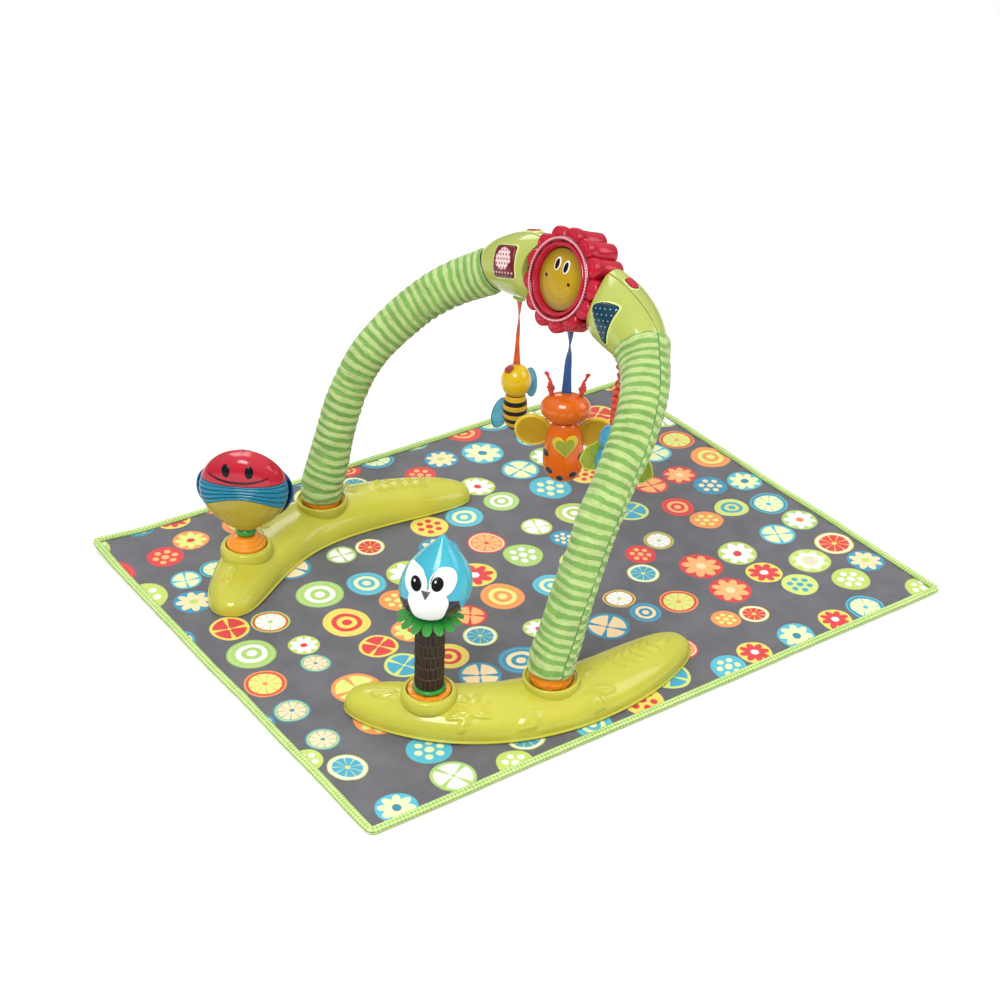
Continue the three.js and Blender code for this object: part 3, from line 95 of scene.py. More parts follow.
def basis(right, up, out, origin):
    """A frame with the three directions as its axes, made square to one another, at the origin."""
    out = np.asarray(out, float) / np.linalg.norm(out)
    right = np.asarray(right, float) - out * np.dot(right, out)
    right = right / np.linalg.norm(right)
    made = np.eye(4)
    made[:3, 0], made[:3, 1], made[:3, 2] = right, np.cross(out, right), out
    if np.dot(made[:3, 1], up) < 0:
        made[:3, 0], made[:3, 1] = -made[:3, 0], -made[:3, 1]
    made[:3, 3] = origin
    return made


WORLD = np.eye(4)
GYM = shift(GYM_X, GYM_Y, 0) @ turn_z(GYM_TURN)
FLOWER_AXES = ((0, -1, 0), (math.sin(FLOWER_TILT), 0, math.cos(FLOWER_TILT)),
               (-math.cos(FLOWER_TILT), 0, math.sin(FLOWER_TILT)))
FLOWER = GYM @ basis(*FLOWER_AXES, (FLOWER_X, 0, FLOWER_Z))


def base_frame(side):
    return GYM @ shift(0, side * HALF_SPAN, BASE_FLOOR) @ turn_z(BASE_TURN)


def toy_frame(side, turn):
    """The frame of the toy that stands in a base: Z up its axis, its face towards -Y."""
    spot = shift(TOY_SOCKET[0], -side * TOY_SOCKET[1], -BASE_FLOOR)
    return base_frame(side) @ spot @ turn_z(turn - BASE_TURN)


def hanging_frame(x, y):
    return GYM @ shift(x, y, STRAP_BOTTOM - SEAT_GAP) @ turn_z(TOY_TURN)


# Curves and numbers


def smooth_line(corners, count):
    """A curve through all the corners: between two of them a cubic whose slopes come from their
    neighbours, with knots spaced by the square root of the corners' distance."""
    p = np.asarray(corners, float)
    last = len(p) - 1
    p = np.vstack([2 * p[0] - p[1], p, 2 * p[-1] - p[-2]])
    t = np.linspace(0, last, count)
    i = np.minimum(t.astype(int), last - 1)
    w = (t - i)[:, None]
    x0, x1, x2, x3 = p[i], p[i + 1], p[i + 2], p[i + 3]
    gap = lambda a, b: np.sqrt(np.linalg.norm(b - a, axis=1))[:, None]
    d0, d1, d2 = gap(x0, x1), gap(x1, x2), gap(x2, x3)
    m1 = ((x1 - x0) / d0 - (x2 - x0) / (d0 + d1) + (x2 - x1) / d1) * d1
    m2 = ((x2 - x1) / d1 - (x3 - x1) / (d1 + d2) + (x3 - x2) / d2) * d1
    bend = -3 * x1 + 3 * x2 - 2 * m1 - m2
    twist = 2 * x1 - 2 * x2 + m1 + m2
    return x1 + m1 * w + bend * w**2 + twist * w**3


def lengths(points):
    """The distance run along a line of points at each of them."""
    return np.concatenate([[0], np.cumsum(np.linalg.norm(np.diff(points, axis=0), axis=1))])


def evenly(points, count):
    """The line again with its points at equal distances."""
    run = lengths(points)
    at = np.linspace(0, run[-1], count)
    return np.stack([np.interp(at, run, points[:, k]) for k in range(points.shape[1])], axis=1)


def eased(value, low, high):
    """0 below low, 1 above high and a soft S between them."""
    t = np.clip((value - low) / (high - low), 0, 1)
    return t * t * (3 - 2 * t)


def whole_turn(count):
    return np.linspace(0, TAU, count, endpoint=False)


def closed(loop):
    return np.concatenate([loop, loop[:1]])


def even_loop(loop, count):
    return evenly(closed(loop), count + 1)[:-1]


def reach_at(angle, loop, loop_angle):
    """How far a loop lies from its middle in each direction."""
    order = np.argsort(loop_angle)
    return np.interp(angle, loop_angle[order], np.hypot(*loop.T)[order], period=TAU)


def unit(vectors):
    """The vectors at a length of one."""
    return vectors / np.linalg.norm(vectors, axis=-1, keepdims=True)


def signed_power(value, power):
    return np.sign(value) * np.abs(value) ** power


def ripple(u, v, seed):
    """Soft unevenness from -1 to 1: the mean of plane waves with seeded directions and phases."""
    source = np.random.default_rng(seed)
    waves, total = 7, 0
    for _ in range(waves):
        angle, rate, phase = source.uniform(0, TAU), source.uniform(0.6, 2.4), source.uniform(0, TAU)
        total = total + np.sin(rate * (u * math.cos(angle) + v * math.sin(angle)) + phase)
    return total / (0.62 * waves)


def unit_grid(rows, columns, wrap=True):
    """Two arrays that run from 0 to 1: down the rows, and along the columns (short of 1 if they
    close on themselves)."""
    return np.meshgrid(np.linspace(0, 1, rows), np.linspace(0, 1, columns, endpoint=not wrap), indexing="ij")


def stacked(*parts):
    return np.stack(np.broadcast_arrays(*parts), axis=-1).astype(float)


def normals(points):
    """Unit normals of a surface grid, from the cross product of its two slopes."""
    made = np.cross(np.gradient(points, axis=0), np.gradient(points, axis=1))
    return made / np.maximum(np.linalg.norm(made, axis=-1, keepdims=True), 1e-9)


# Meshes


def make_mesh(name, points, matrix, wrap, ring, poles, keep, crease):
    """A mesh over a grid of points: four-sided faces between rows and columns, closed round the
    columns when wrap, round the rows when ring, and by a fan at each end when poles. Faces are
    turned so that they look away from the middle, and the map runs in metres along the surface."""
    rows, columns = points.shape[:2]
    flat = points.reshape(-1, 3)
    step_u = np.linalg.norm(np.diff(points, axis=1), axis=2).mean(axis=0)
    step_v = np.linalg.norm(np.diff(points, axis=0), axis=2).mean(axis=1)
    u = np.concatenate([[0], np.cumsum(step_u), [step_u.sum() + step_u.mean()]])[: columns + wrap]
    v = np.concatenate([[0], np.cumsum(step_v), [step_v.sum() + step_v.mean()]])[: rows + ring]
    numbers = np.arange(rows * columns).reshape(rows, columns)
    if wrap:
        numbers = np.concatenate([numbers, numbers[:, :1]], axis=1)
    if ring:
        numbers = np.concatenate([numbers, numbers[:1]], axis=0)
    corner = lambda a: np.stack([a[:-1, :-1], a[:-1, 1:], a[1:, 1:], a[1:, :-1]], axis=-1)
    quads = corner(numbers).reshape(-1, 4)
    maps = np.stack(np.meshgrid(u, v), axis=-1)
    quad_maps = np.stack([corner(maps[..., k]).reshape(-1, 4) for k in (0, 1)], axis=-1)
    if keep is not None:
        quads, quad_maps = quads[keep.reshape(-1)], quad_maps[keep.reshape(-1)]
    tris = np.zeros((0, 3), int)
    tri_maps = np.zeros((0, 3, 2))
    if poles and wrap and not ring:
        for row, place, order in ((0, v[0], 1), (rows - 1, v[-1], -1)):
            flat = np.vstack([flat, flat[row * columns:(row + 1) * columns].mean(axis=0)])
            edge = numbers[row]
            fan = np.stack([np.full(columns, len(flat) - 1), edge[1:], edge[:-1]], axis=1)
            fan_map = np.stack([np.stack([(u[1:] + u[:-1]) / 2, np.full(columns, place)], axis=1),
                np.stack([u[1:], np.full(columns, place)], axis=1),
                np.stack([u[:-1], np.full(columns, place)], axis=1)], axis=1)
            tris = np.vstack([tris, fan[:, ::order]])
            tri_maps = np.vstack([tri_maps, fan_map[:, ::order]])
    world = (flat @ matrix[:3, :3].T + matrix[:3, 3]) * MM
    middle = world.mean(axis=0)
    look = lambda faces, a, b, c, d: np.sum(
        np.cross(world[faces[:, b]] - world[faces[:, a]], world[faces[:, d]] - world[faces[:, c]])
        * (world[faces].mean(axis=1) - middle))
    outwards = look(quads, 0, 2, 1, 3) + (look(tris, 0, 1, 0, 2) if len(tris) else 0)
    if outwards < 0:
        quads, quad_maps = quads[:, ::-1], quad_maps[:, ::-1]
        tris, tri_maps = tris[:, ::-1], tri_maps[:, ::-1]
    mesh = bpy.data.meshes.new(name)
    corners = np.concatenate([quads.reshape(-1), tris.reshape(-1)])
    starts = np.concatenate([np.arange(len(quads)) * 4, len(quads) * 4 + np.arange(len(tris)) * 3])
    mesh.vertices.add(len(world))
    mesh.vertices.foreach_set("co", world.reshape(-1))
    mesh.loops.add(len(corners))
    mesh.loops.foreach_set("vertex_index", corners)
    mesh.polygons.add(len(starts))
    mesh.polygons.foreach_set("loop_start", starts)
    mesh.update(calc_edges=True)
    chart = mesh.uv_layers.new(name="surface")
    spread = np.concatenate([quad_maps.reshape(-1, 2), tri_maps.reshape(-1, 2)]) * MM
    chart.uv.foreach_set("vector", spread.reshape(-1))
    mesh.validate()
    mesh.polygons.foreach_set("use_smooth", np.ones(len(mesh.polygons), bool))
    if crease:
        mesh.set_sharp_from_angle(angle=crease * RAD)
    return mesh


def piece(name, points, matrix, finish, body, nodes=(), wrap=True, ring=False,
          poles=True, keep=None, wall=0, crease=0):
    """A named piece over a grid of points, in its finish, that rides on a body and stands for
    the frame's nodes. A wall thickens an open surface inwards."""
    mesh = make_mesh(name, points, matrix, wrap, ring, poles, keep, crease)
    made = bpy.data.objects.new(name, mesh)
    bpy.context.scene.collection.objects.link(made)
    mesh.materials.append(finish)
    if wall:
        thick = made.modifiers.new("wall", "SOLIDIFY")
        thick.thickness, thick.offset = wall * MM, -1
    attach(made, body)
    if nodes:
        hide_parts(*nodes)
    return made


def turned(profile, columns):
    """A surface of revolution: each corner of the profile is a radius and a height."""
    profile = np.asarray(profile, float)
    angle = whole_turn(columns)
    radius, height = profile[:, :1], profile[:, 1:]
    return stacked(radius * np.cos(angle), radius * np.sin(angle), height + 0 * angle)


def rounded(profile, radius, steps=4):
    """The profile with each inner corner rounded by a short curve from edge to edge."""
    p = np.asarray(profile, float)
    made = [p[:1]]
    for before, here, after in zip(p[:-2], p[1:-1], p[2:]):
        back, on = before - here, after - here
        cut = min(radius, np.linalg.norm(back) * 0.45, np.linalg.norm(on) * 0.45)
        a = here + back / np.linalg.norm(back) * cut
        b = here + on / np.linalg.norm(on) * cut
        t = np.linspace(0, 1, steps)[:, None]
        made.append((1 - t) ** 2 * a + 2 * t * (1 - t) * here + t**2 * b)
    made.append(p[-1:])
    return np.vstack(made)


def ball(radii, centre):
    """An egg of three half sizes: cosine rings stacked by the sine of the latitude."""
    v, a = unit_grid(28, 48)
    lat = (v * 0.988 + 0.006 - 0.5) * math.pi
    swell = np.cos(lat)
    return stacked(centre[0] + radii[0] * swell * np.cos(a * TAU),
        centre[1] + radii[1] * swell * np.sin(a * TAU), centre[2] + radii[2] * np.sin(lat))


def rope(path, radius, columns, up=(0, 0, 1), flat=1.0):
    """A round cord along a path: circles square to the line, narrower one way where flat."""
    path = np.asarray(path, float)
    along = unit(np.gradient(path, axis=0))
    side = unit(np.cross(along, up))
    rise = np.cross(side, along)
    angle = whole_turn(columns)[None, :, None]
    r = np.broadcast_to(np.asarray(radius, float), (len(path),))[:, None, None]
    return path[:, None] + r * (side[:, None] * np.cos(angle) + flat * rise[:, None] * np.sin(angle))


def pad(outline, low, high, soften, rows=6, crown=0.0):
    """A plate over a flat outline (N by 2): its edge is a quarter ellipse above and below, and
    its faces bulge by the crown towards the middle."""
    outline = np.asarray(outline, float)
    centre = outline.mean(axis=0)
    reach = np.linalg.norm(outline - centre, axis=1).mean()
    edge = np.linspace(0, 1, rows) * math.pi / 2
    rim = [(1 - soften / reach * (1 - math.cos(a)), math.sin(a)) for a in edge]
    inner = [(s, 1.0) for s in np.linspace(rim[-1][0], 0.04, rows + 3)[1:]]
    middle = (low + high) / 2
    loops = []
    for way, edges in ((-1, inner[::-1] + rim[::-1]), (1, rim + inner)):
        for scale, lift in edges:
            bulge = crown * (1 - scale**2) if lift == 1.0 else 0
            side = high if way > 0 else low
            soft = min(soften, abs(side - middle))
            height = side - way * soft * (1 - lift) + way * bulge
            flat = centre + (outline - centre) * scale
            loops.append(stacked(flat[:, 0], flat[:, 1], height))
    return np.stack(loops)


def rounded_square(width, height, radius, count=96):
    """A rectangle with round corners, as points at equal distances round it."""
    angle = whole_turn(400)
    x = np.sign(np.cos(angle)) * (width / 2 - radius) + radius * np.cos(angle)
    y = np.sign(np.sin(angle)) * (height / 2 - radius) + radius * np.sin(angle)
    loop = np.stack([x, y], axis=1)
    return even_loop(loop, count)


def slice_outline(width, height, margin):
    """A slice with its point below and a curved upper edge, grown by a margin."""
    radius, hub, top = 3 + margin, -height / 2 + 3, height - 6
    spread = math.asin((width / 2 - 3) / top)
    arc = lambda x, y, r, a, b: np.stack(
        [x + r * np.cos(np.linspace(a, b, 40)), y + r * np.sin(np.linspace(a, b, 40))], axis=1)
    rx, ry = top * math.sin(spread), hub + top * math.cos(spread)
    loop = np.vstack([arc(0, hub, radius, math.pi + spread, TAU - spread),
        arc(rx, ry, radius, -spread, math.pi / 2 - spread),
        arc(0, hub, top + radius, math.pi / 2 - spread, math.pi / 2 + spread),
        arc(-rx, ry, radius, math.pi / 2 + spread, math.pi + spread)])
    return even_loop(loop, 96)


def heart_outline(width):
    """A heart: two round lobes above and sides that curve in to a point below."""
    t = whole_turn(600)
    x = 16 * np.sin(t) ** 3
    y = 13 * np.cos(t) - 5 * np.cos(2 * t) - 2 * np.cos(3 * t) - np.cos(4 * t)
    loop = np.stack([x, y + 2], axis=1) * width / 32
    return even_loop(loop, 96)


# Shader nodes


def linear(code):
    """A hex colour as the linear red, green and blue that shaders work in."""
    value = np.array([int(code[k:k + 2], 16) / 255 for k in (0, 2, 4)])
    made = np.where(value <= 0.04045, value / 12.92, ((value + 0.055) / 1.055) ** 2.4)
    return tuple(float(x) for x in made)


class Signal:
    """One number output of a node. Arithmetic on it adds Math nodes to its tree."""

    def __init__(self, paint, socket):
        self.paint, self.socket = paint, socket

    def math(self, operation, *others):
        return self.paint.node("ShaderNodeMath", {"operation": operation}, dict(enumerate((self, *others)))
        )["Value"]

    def __add__(self, other):
        return self.math("ADD", other)

    def __radd__(self, other):
        return self.math("ADD", other)

    def __sub__(self, other):
        return self.math("SUBTRACT", other)

    def __rsub__(self, other):
        return self.paint.number("SUBTRACT", other, self)

    def __mul__(self, other):
        return self.math("MULTIPLY", other)

    def __rmul__(self, other):
        return self.math("MULTIPLY", other)

    def __truediv__(self, other):
        return self.math("DIVIDE", other)

    def sine(self):
        return self.math("SINE")

    def size(self):
        return self.math("ABSOLUTE")

    def least(self, other):
        return self.math("MINIMUM", other)

    def most(self, other):
        return self.math("MAXIMUM", other)

    def step(self, low, high):
        """0 below low, 1 above high, softly between; the other way round if low is above high."""
        made = self.paint.node("ShaderNodeMapRange", {"interpolation_type": "SMOOTHSTEP", "clamp": True},
            {"Value": self, "From Min": low, "From Max": high, "To Min": 0.0, "To Max": 1.0})
        return made["Result"]


SOCKET_NAMES = {"coat": "Coat Weight", "coat_rough": "Coat Roughness", "sheen": "Sheen Weight",
                "specular": "Specular IOR Level", "metallic": "Metallic"}


class Paint:
    """A material that is being made: every node in it comes from the node method."""

    def __init__(self, name, owner=None):
        self.owner = owner or bpy.data.materials.new(name)
        self.owner.use_nodes = True
        self.tree = self.owner.node_tree
        self.tree.nodes.clear()

    def node(self, kind, settings=None, inputs=None):
        """A node of a type: its settings first, then the values or links of its sockets."""
        made = self.tree.nodes.new(kind)
        for key, value in (settings or {}).items():
            if key == "stops":
                self.fill_ramp(made.color_ramp, value)
            else:
                setattr(made, key, value)
        for key, value in (inputs or {}).items():
            self.feed(self.find(made.inputs, key), value)
        outputs = {s.identifier: Signal(self, s) for s in made.outputs if s.enabled}
        outputs.update({s.name: Signal(self, s) for s in made.outputs if s.enabled})
        return outputs

    def find(self, sockets, key):
        if isinstance(key, int):
            return sockets[key]
        return next(s for s in sockets if s.enabled and key in (s.identifier, s.name))

    def feed(self, socket, value):
        if isinstance(value, Signal):
            self.tree.links.new(value.socket, socket)
        elif socket.type == "RGBA":
            socket.default_value = (*value, 1.0)
        else:
            socket.default_value = value

    def fill_ramp(self, ramp, stops):
        ramp.interpolation = "CONSTANT"
        while len(ramp.elements) < len(stops):
            ramp.elements.new(1.0)
        for element, (place, colour) in zip(ramp.elements, stops):
            element.position, element.color = place, (*colour, 1.0)

    def number(self, operation, *values):
        return self.node("ShaderNodeMath", {"operation": operation}, dict(enumerate(values)))["Value"]

    def places(self):
        """The place on the object, in millimetres."""
        at = self.node("ShaderNodeTexCoord")["Object"]
        return self.vector("SCALE", at, scale=1000.0)

    def map(self):
        """The place on the surface's own map, in millimetres, as two numbers."""
        at = self.node("ShaderNodeUVMap", {"uv_map": "surface"})["UV"]
        parts = self.node("ShaderNodeSeparateXYZ", None, {"Vector": at})
        return parts["X"] * 1000.0, parts["Y"] * 1000.0

    def vector(self, operation, *values, scale=None, output="Vector"):
        inputs = dict(enumerate(values))
        if scale is not None:
            inputs["Scale"] = scale
        return self.node("ShaderNodeVectorMath", {"operation": operation}, inputs)[output]

    def local(self, at, matrix):
        """The place along the three axes of a frame, from its origin."""
        away = self.vector("SUBTRACT", at, tuple(matrix[:3, 3]))
        return [self.vector("DOT_PRODUCT", away, tuple(matrix[:3, k]), output="Value") for k in (0, 1, 2)]

    def parts(self, vector):
        made = self.node("ShaderNodeSeparateXYZ", None, {"Vector": vector})
        return made["X"], made["Y"], made["Z"]

    def joined(self, x, y, z=0.0):
        return self.node("ShaderNodeCombineXYZ", None, {"X": x, "Y": y, "Z": z})["Vector"]

    def noise(self, place, scale, detail=2.0, rough=0.5):
        inputs = {"Vector": place, "Scale": scale, "Detail": detail, "Roughness": rough}
        return self.node("ShaderNodeTexNoise", {"noise_dimensions": "3D"}, inputs)["Fac"]

    def mix(self, factor, first, second):
        """The first colour where the factor is 0 and the second where it is 1."""
        inputs = {"Factor_Float": factor, "A_Color": first, "B_Color": second}
        return self.node("ShaderNodeMix", {"data_type": "RGBA"}, inputs)["Result_Color"]

    def bump(self, height, distance, strength=1.0):
        inputs = {"Height": height, "Distance": distance * MM, "Strength": strength}
        return self.node("ShaderNodeBump", None, inputs)["Normal"]

    def finish(self, colour, roughness, normal=None, **constants):
        """The shader itself: what varies is linked and what doesn't is set on its own socket."""
        inputs = {"Base Color": colour, "Roughness": roughness}
        if normal is not None:
            inputs["Normal"] = normal
        inputs.update({SOCKET_NAMES[key]: value for key, value in constants.items()})
        shader = self.node("ShaderNodeBsdfPrincipled", None, inputs)["BSDF"]
        self.node("ShaderNodeOutputMaterial", None, {"Surface": shader})
        return self.owner


# Finishes


def shade(colour, factor):
    return tuple(min(c * factor, 1.0) for c in colour)


def plastic(name, colour, gloss, depth=0.12, coat=0.25, specular=0.3):
    """Moulded plastic: its colour drifts a little over the piece, and fine flow marks roughen it."""
    paint = Paint(name)
    at = paint.places()
    drift = paint.noise(at, 0.018, 3.0)
    grain = paint.noise(at, 0.9, 2.0)
    tone = paint.mix(drift.step(0.3, 0.7), shade(colour, 1 - depth), shade(colour, 1 + depth * 0.6))
    worn = drift * 0.08 + grain * 0.07 + (gloss - 0.075)
    normal = paint.bump(grain, 0.03)
    return paint.finish(tone, worn, normal, coat=coat, coat_rough=0.08, specular=specular)


def moulded(name, colour, mark, place_of_mark, gloss):
    """Moulded plastic with printed marks: place_of_mark gives a mask from the paint."""
    paint = Paint(name)
    at = paint.places()
    drift = paint.noise(at, 0.02, 3.0)
    grain = paint.noise(at, 0.9, 2.0)
    tone = paint.mix(drift.step(0.3, 0.7), shade(colour, 0.9), shade(colour, 1.05))
    tone = paint.mix(place_of_mark(paint, at), tone, mark)
    rough = grain * 0.1 + (gloss - 0.05)
    return paint.finish(tone, rough, paint.bump(grain, 0.03), coat=0.2, coat_rough=0.08, specular=0.3)


def black_gloss(name):
    """Printed or moulded black: darker where dust doesn't lie, with a hard, narrow highlight."""
    paint = Paint(name)
    grain = paint.noise(paint.places(), 0.6, 3.0)
    tone = paint.mix(grain, linear("080709"), linear("161316"))
    return paint.finish(tone, grain * 0.08 + 0.1, None, specular=0.22)


def metal(name, colour, rough=0.35):
    paint = Paint(name)
    at = paint.places()
    scratch = paint.noise(at, 0.7, 4.0, 0.7)
    tone = paint.mix(scratch, shade(colour, 0.8), shade(colour, 1.1))
    return paint.finish(tone, scratch * 0.2 + (rough - 0.1), paint.bump(scratch, 0.05), metallic=0.8)


def weave_height(paint, at, pitch):
    """Threads that cross: the product of two sines, at the given pitch in millimetres."""
    x, y, z = paint.parts(at)
    rate = TAU / pitch
    return (x * rate).sine() * ((y + z) * rate).sine()


def soft_cloth(name, colour, second, sheen, mottle):
    """Plain woven cloth: threads, a mottled dye and a little fuzz."""
    paint = Paint(name)
    at = paint.places()
    dye = paint.noise(at, mottle, 4.0, 0.6)
    thread = weave_height(paint, at, 0.9)
    fuzz = paint.noise(at, 1.4, 2.0)
    tone = paint.mix((dye + thread * 0.04).step(0.35, 0.65), colour, second)
    normal = paint.bump(thread * 0.5 + fuzz, 0.12)
    return paint.finish(tone, fuzz * 0.12 + 0.78, normal, sheen=sheen)


def mat_cloth(ground, spacing):
    """The printed mat: slices, daisies, rings, leaves and dots in discs scattered on a dark
    ground. Each cell of a Voronoi pattern holds one motif about its own middle, and the cell's
    random colour picks the motif, its colours and its turn."""
    paint = Paint("printed_mat_cloth")
    at = paint.places()
    x, y, _ = paint.parts(at)
    wobble = paint.noise(at, 0.012, 2.0)
    flat = paint.joined(x + wobble * 10.0, y + wobble * 7.0, 0.0)
    settings = {"voronoi_dimensions": "2D", "feature": "F1"}
    inputs = {"Vector": flat, "Scale": 1.0 / spacing, "Randomness": 0.5}
    cell = paint.node("ShaderNodeTexVoronoi", settings, inputs)
    settings = {"voronoi_dimensions": "2D", "feature": "N_SPHERE_RADIUS"}
    room = paint.node("ShaderNodeTexVoronoi", settings, inputs)["Radius"] * spacing
    pick, hue, spin = paint.parts(cell["Color"])
    local = paint.vector("SUBTRACT", flat, cell["Position"])
    u, v, _ = paint.parts(local)
    radius = paint.vector("LENGTH", local, output="Value")
    full = (room * 0.98).least(spacing * 0.47)
    r = radius / full
    angle = paint.number("ARCTAN2", v, u) + spin * TAU
    edge = lambda value, at_value: value.step(at_value + 0.035, at_value - 0.035)

    def dye(codes):
        """One of eight colours, picked by the cell's hue."""
        stops = [(i / 8, linear(code)) for i, code in enumerate(codes.split())]
        return paint.node("ShaderNodeValToRGB", {"stops": stops}, {"Fac": hue})["Color"]

    disc_colour = dye("b9cf62 d5373a 4fb3c8 e8d35c a5c96a f0934e 2f8fb0 cfdc72")
    second = dye("f4f3ee f3b06c e9efb0 d5373a f4f3ee d8e27a f7d9a8 3f9fbd")
    third = dye("d5373a f6d9a6 2f7f9c f4f3ee e2803c c8372f b8d06a f4f3ee")
    wedge = lambda count: (angle * (count / 2.0)).sine().size()
    kind = lambda low, high: pick.step(low - 0.001, low + 0.001) * pick.step(high + 0.001, high - 0.001)
    # a citrus slice: a pale rind, then segments parted by thin walls
    flesh = edge(r, 0.74) * (wedge(9.0).step(0.12, 0.24)) * r.step(0.1, 0.16)
    # a daisy: petals round a middle
    petal = edge(r / (wedge(8.0) * 0.34 + 0.52), 1.0)
    eye = edge(r, 0.22)
    # rings
    rings = ((r * 15.0).sine()).step(-0.15, 0.15) * edge(r, 0.84)
    # a four-leaved sprig
    leaf = edge(r, 0.82) * (angle * 2.0).sine().size().step(0.22, 0.34) * r.step(0.07, 0.12)
    # seven dots: one in the middle and six about it
    sector = paint.number("PINGPONG", angle + 10.0 * TAU, TAU / 12.0)
    dot = paint.number("POWER", r * r + 0.2704 - r * 1.04 * paint.number("COSINE", sector), 0.5)
    dots = edge(dot, 0.17).most(edge(r, 0.2))
    body = edge(r, 0.97)
    parts = {"slice": (kind(-1.0, 0.24), flesh), "daisy": (kind(0.24, 0.46), petal),
        "rings": (kind(0.46, 0.62), rings), "leaf": (kind(0.62, 0.82), leaf), "dots": (kind(0.82, 2.0), dots)}
    shape = 0.0
    for where, mask in parts.values():
        shape = where * mask + shape
    dyed = paint.mix(shape, disc_colour, second)
    dyed = paint.mix(parts["daisy"][0] * eye, dyed, third)
    rind = edge(r, 0.88) * r.step(0.76, 0.8) * parts["slice"][0]
    dyed = paint.mix(rind, dyed, third)
    dust = paint.noise(at, 0.03, 4.0)
    thread = weave_height(paint, at, 1.1)
    base = paint.mix(dust.step(0.3, 0.7), shade(ground, 0.88), shade(ground, 1.12))
    tone = paint.mix(body, base, dyed)
    tone = paint.mix(thread.step(0.2, 1.0) * 0.1, tone, shade(ground, 0.6))
    fuzz = paint.noise(at, 1.0, 3.0)
    return paint.finish(tone, fuzz * 0.1 + 0.62, paint.bump(thread * 0.6 + fuzz, 0.1), sheen=0.12)


def sleeve_cloth(name, pale, deep, pitch, seam):
    """Cloth striped across its length: equal stripes from a sine of the map's length, nudged by
    two noises, and frayed where the colours meet. A seam is a dark thread that wanders along the
    sleeve; beside it runs a strip whose stripes don't meet the others."""
    paint = Paint(name)
    at = paint.places()
    around, run = paint.map()
    drift = paint.noise(at, 0.02, 2.0) * 9.0 + paint.noise(at, 0.085, 2.0) * 3.4
    fray = paint.noise(at, 0.4, 4.0, 0.7)
    line = run + drift
    thread = None
    if seam:
        girth, length = seam
        share = run / length
        below, above = (0.5 - share).most(0.0), (share - 0.5).most(0.0)
        off = around - (103.0 - below * 54.0 - above * 32.0) * (girth / 360.0)
        strip = off.step(0.2, 1.0) * off.step(12.5, 10.5)
        line = line + strip * (paint.noise(at, 0.12, 2.0) * 5.0 + 1.8)
        thread = off.size().step(0.85, 0.4)
    mask = ((line * (TAU / pitch)).sine() + (fray - 0.5) * 0.8).step(-0.45, 0.45)
    wash = paint.noise(at, 0.05, 4.0)
    first = paint.mix(wash.step(0.3, 0.7), shade(pale, 0.9), shade(pale, 1.06))
    other = paint.mix(wash.step(0.3, 0.7), shade(deep, 0.84), shade(deep, 1.1))
    tone = paint.mix(mask, first, other)
    crease = paint.noise(paint.joined(around * 0.16, run * 0.62), 1.0, 2.0)
    # painted shade in the creases: the cloth darkens towards the deep stripe where the crease noise is low,
    # in the hollows of the same noise's bump
    tone = paint.mix(crease.step(0.5, 0.25) * 0.35, tone, shade(deep, 0.55))
    if thread is not None:
        tone = paint.mix(thread, tone, linear("3f7a3a"))
    nap = paint.noise(at, 1.1, 3.0)
    normal = paint.bump(nap * 0.22 + crease, 0.9)
    return paint.finish(tone, nap * 0.1 + 0.8, normal, sheen=0.15)


def binding_cloth(pale, deep, girth):
    """The mat's binding: a small soft check from two sines of the map, with a dark line of
    stitching along its inner side and a shadow under its outer side."""
    paint = Paint("binding_cloth")
    at = paint.places()
    around, run = paint.map()
    blur = paint.noise(at, 0.25, 3.0)
    check = ((run + blur * 3.0) * (TAU / 4.4)).sine() + ((around + blur * 2.0) * (TAU / 4.6)).sine()
    wash = paint.noise(at, 0.04, 3.0)
    tone = paint.mix((check + (wash - 0.5) * 1.6).step(-1.0, 1.0), pale, deep)
    stitch = (around - girth / 2).size().step(1.5, 0.6)
    stitch = stitch * (0.45 + (run * (TAU / 3.1)).sine().step(-0.6, 0.2) * 0.4)
    tone = paint.mix(stitch, tone, shade(deep, 0.25))
    tone = paint.mix(around.step(1.3, 0.5), tone, shade(deep, 0.4))
    nap = paint.noise(at, 1.0, 3.0)
    return paint.finish(tone, nap * 0.1 + 0.8, paint.bump(nap, 0.2), sheen=0.15)


def satin(name, colour):
    """Woven ribbon: fine ribs along the map's length with a bright sheen between them."""
    paint = Paint(name)
    at = paint.places()
    across, run = paint.map()
    rib_height = (across * (TAU / 0.7)).sine() * 0.5 + (run * (TAU / 0.9)).sine() * 0.3
    drift = paint.noise(at, 0.05, 3.0)
    tone = paint.mix(drift.step(0.3, 0.7), shade(colour, 0.75), shade(colour, 1.15))
    return paint.finish(tone, drift * 0.2 + 0.32, paint.bump(rib_height, 0.08), sheen=0.3)


# Shapes of the frame, repeated with smooth surfaces


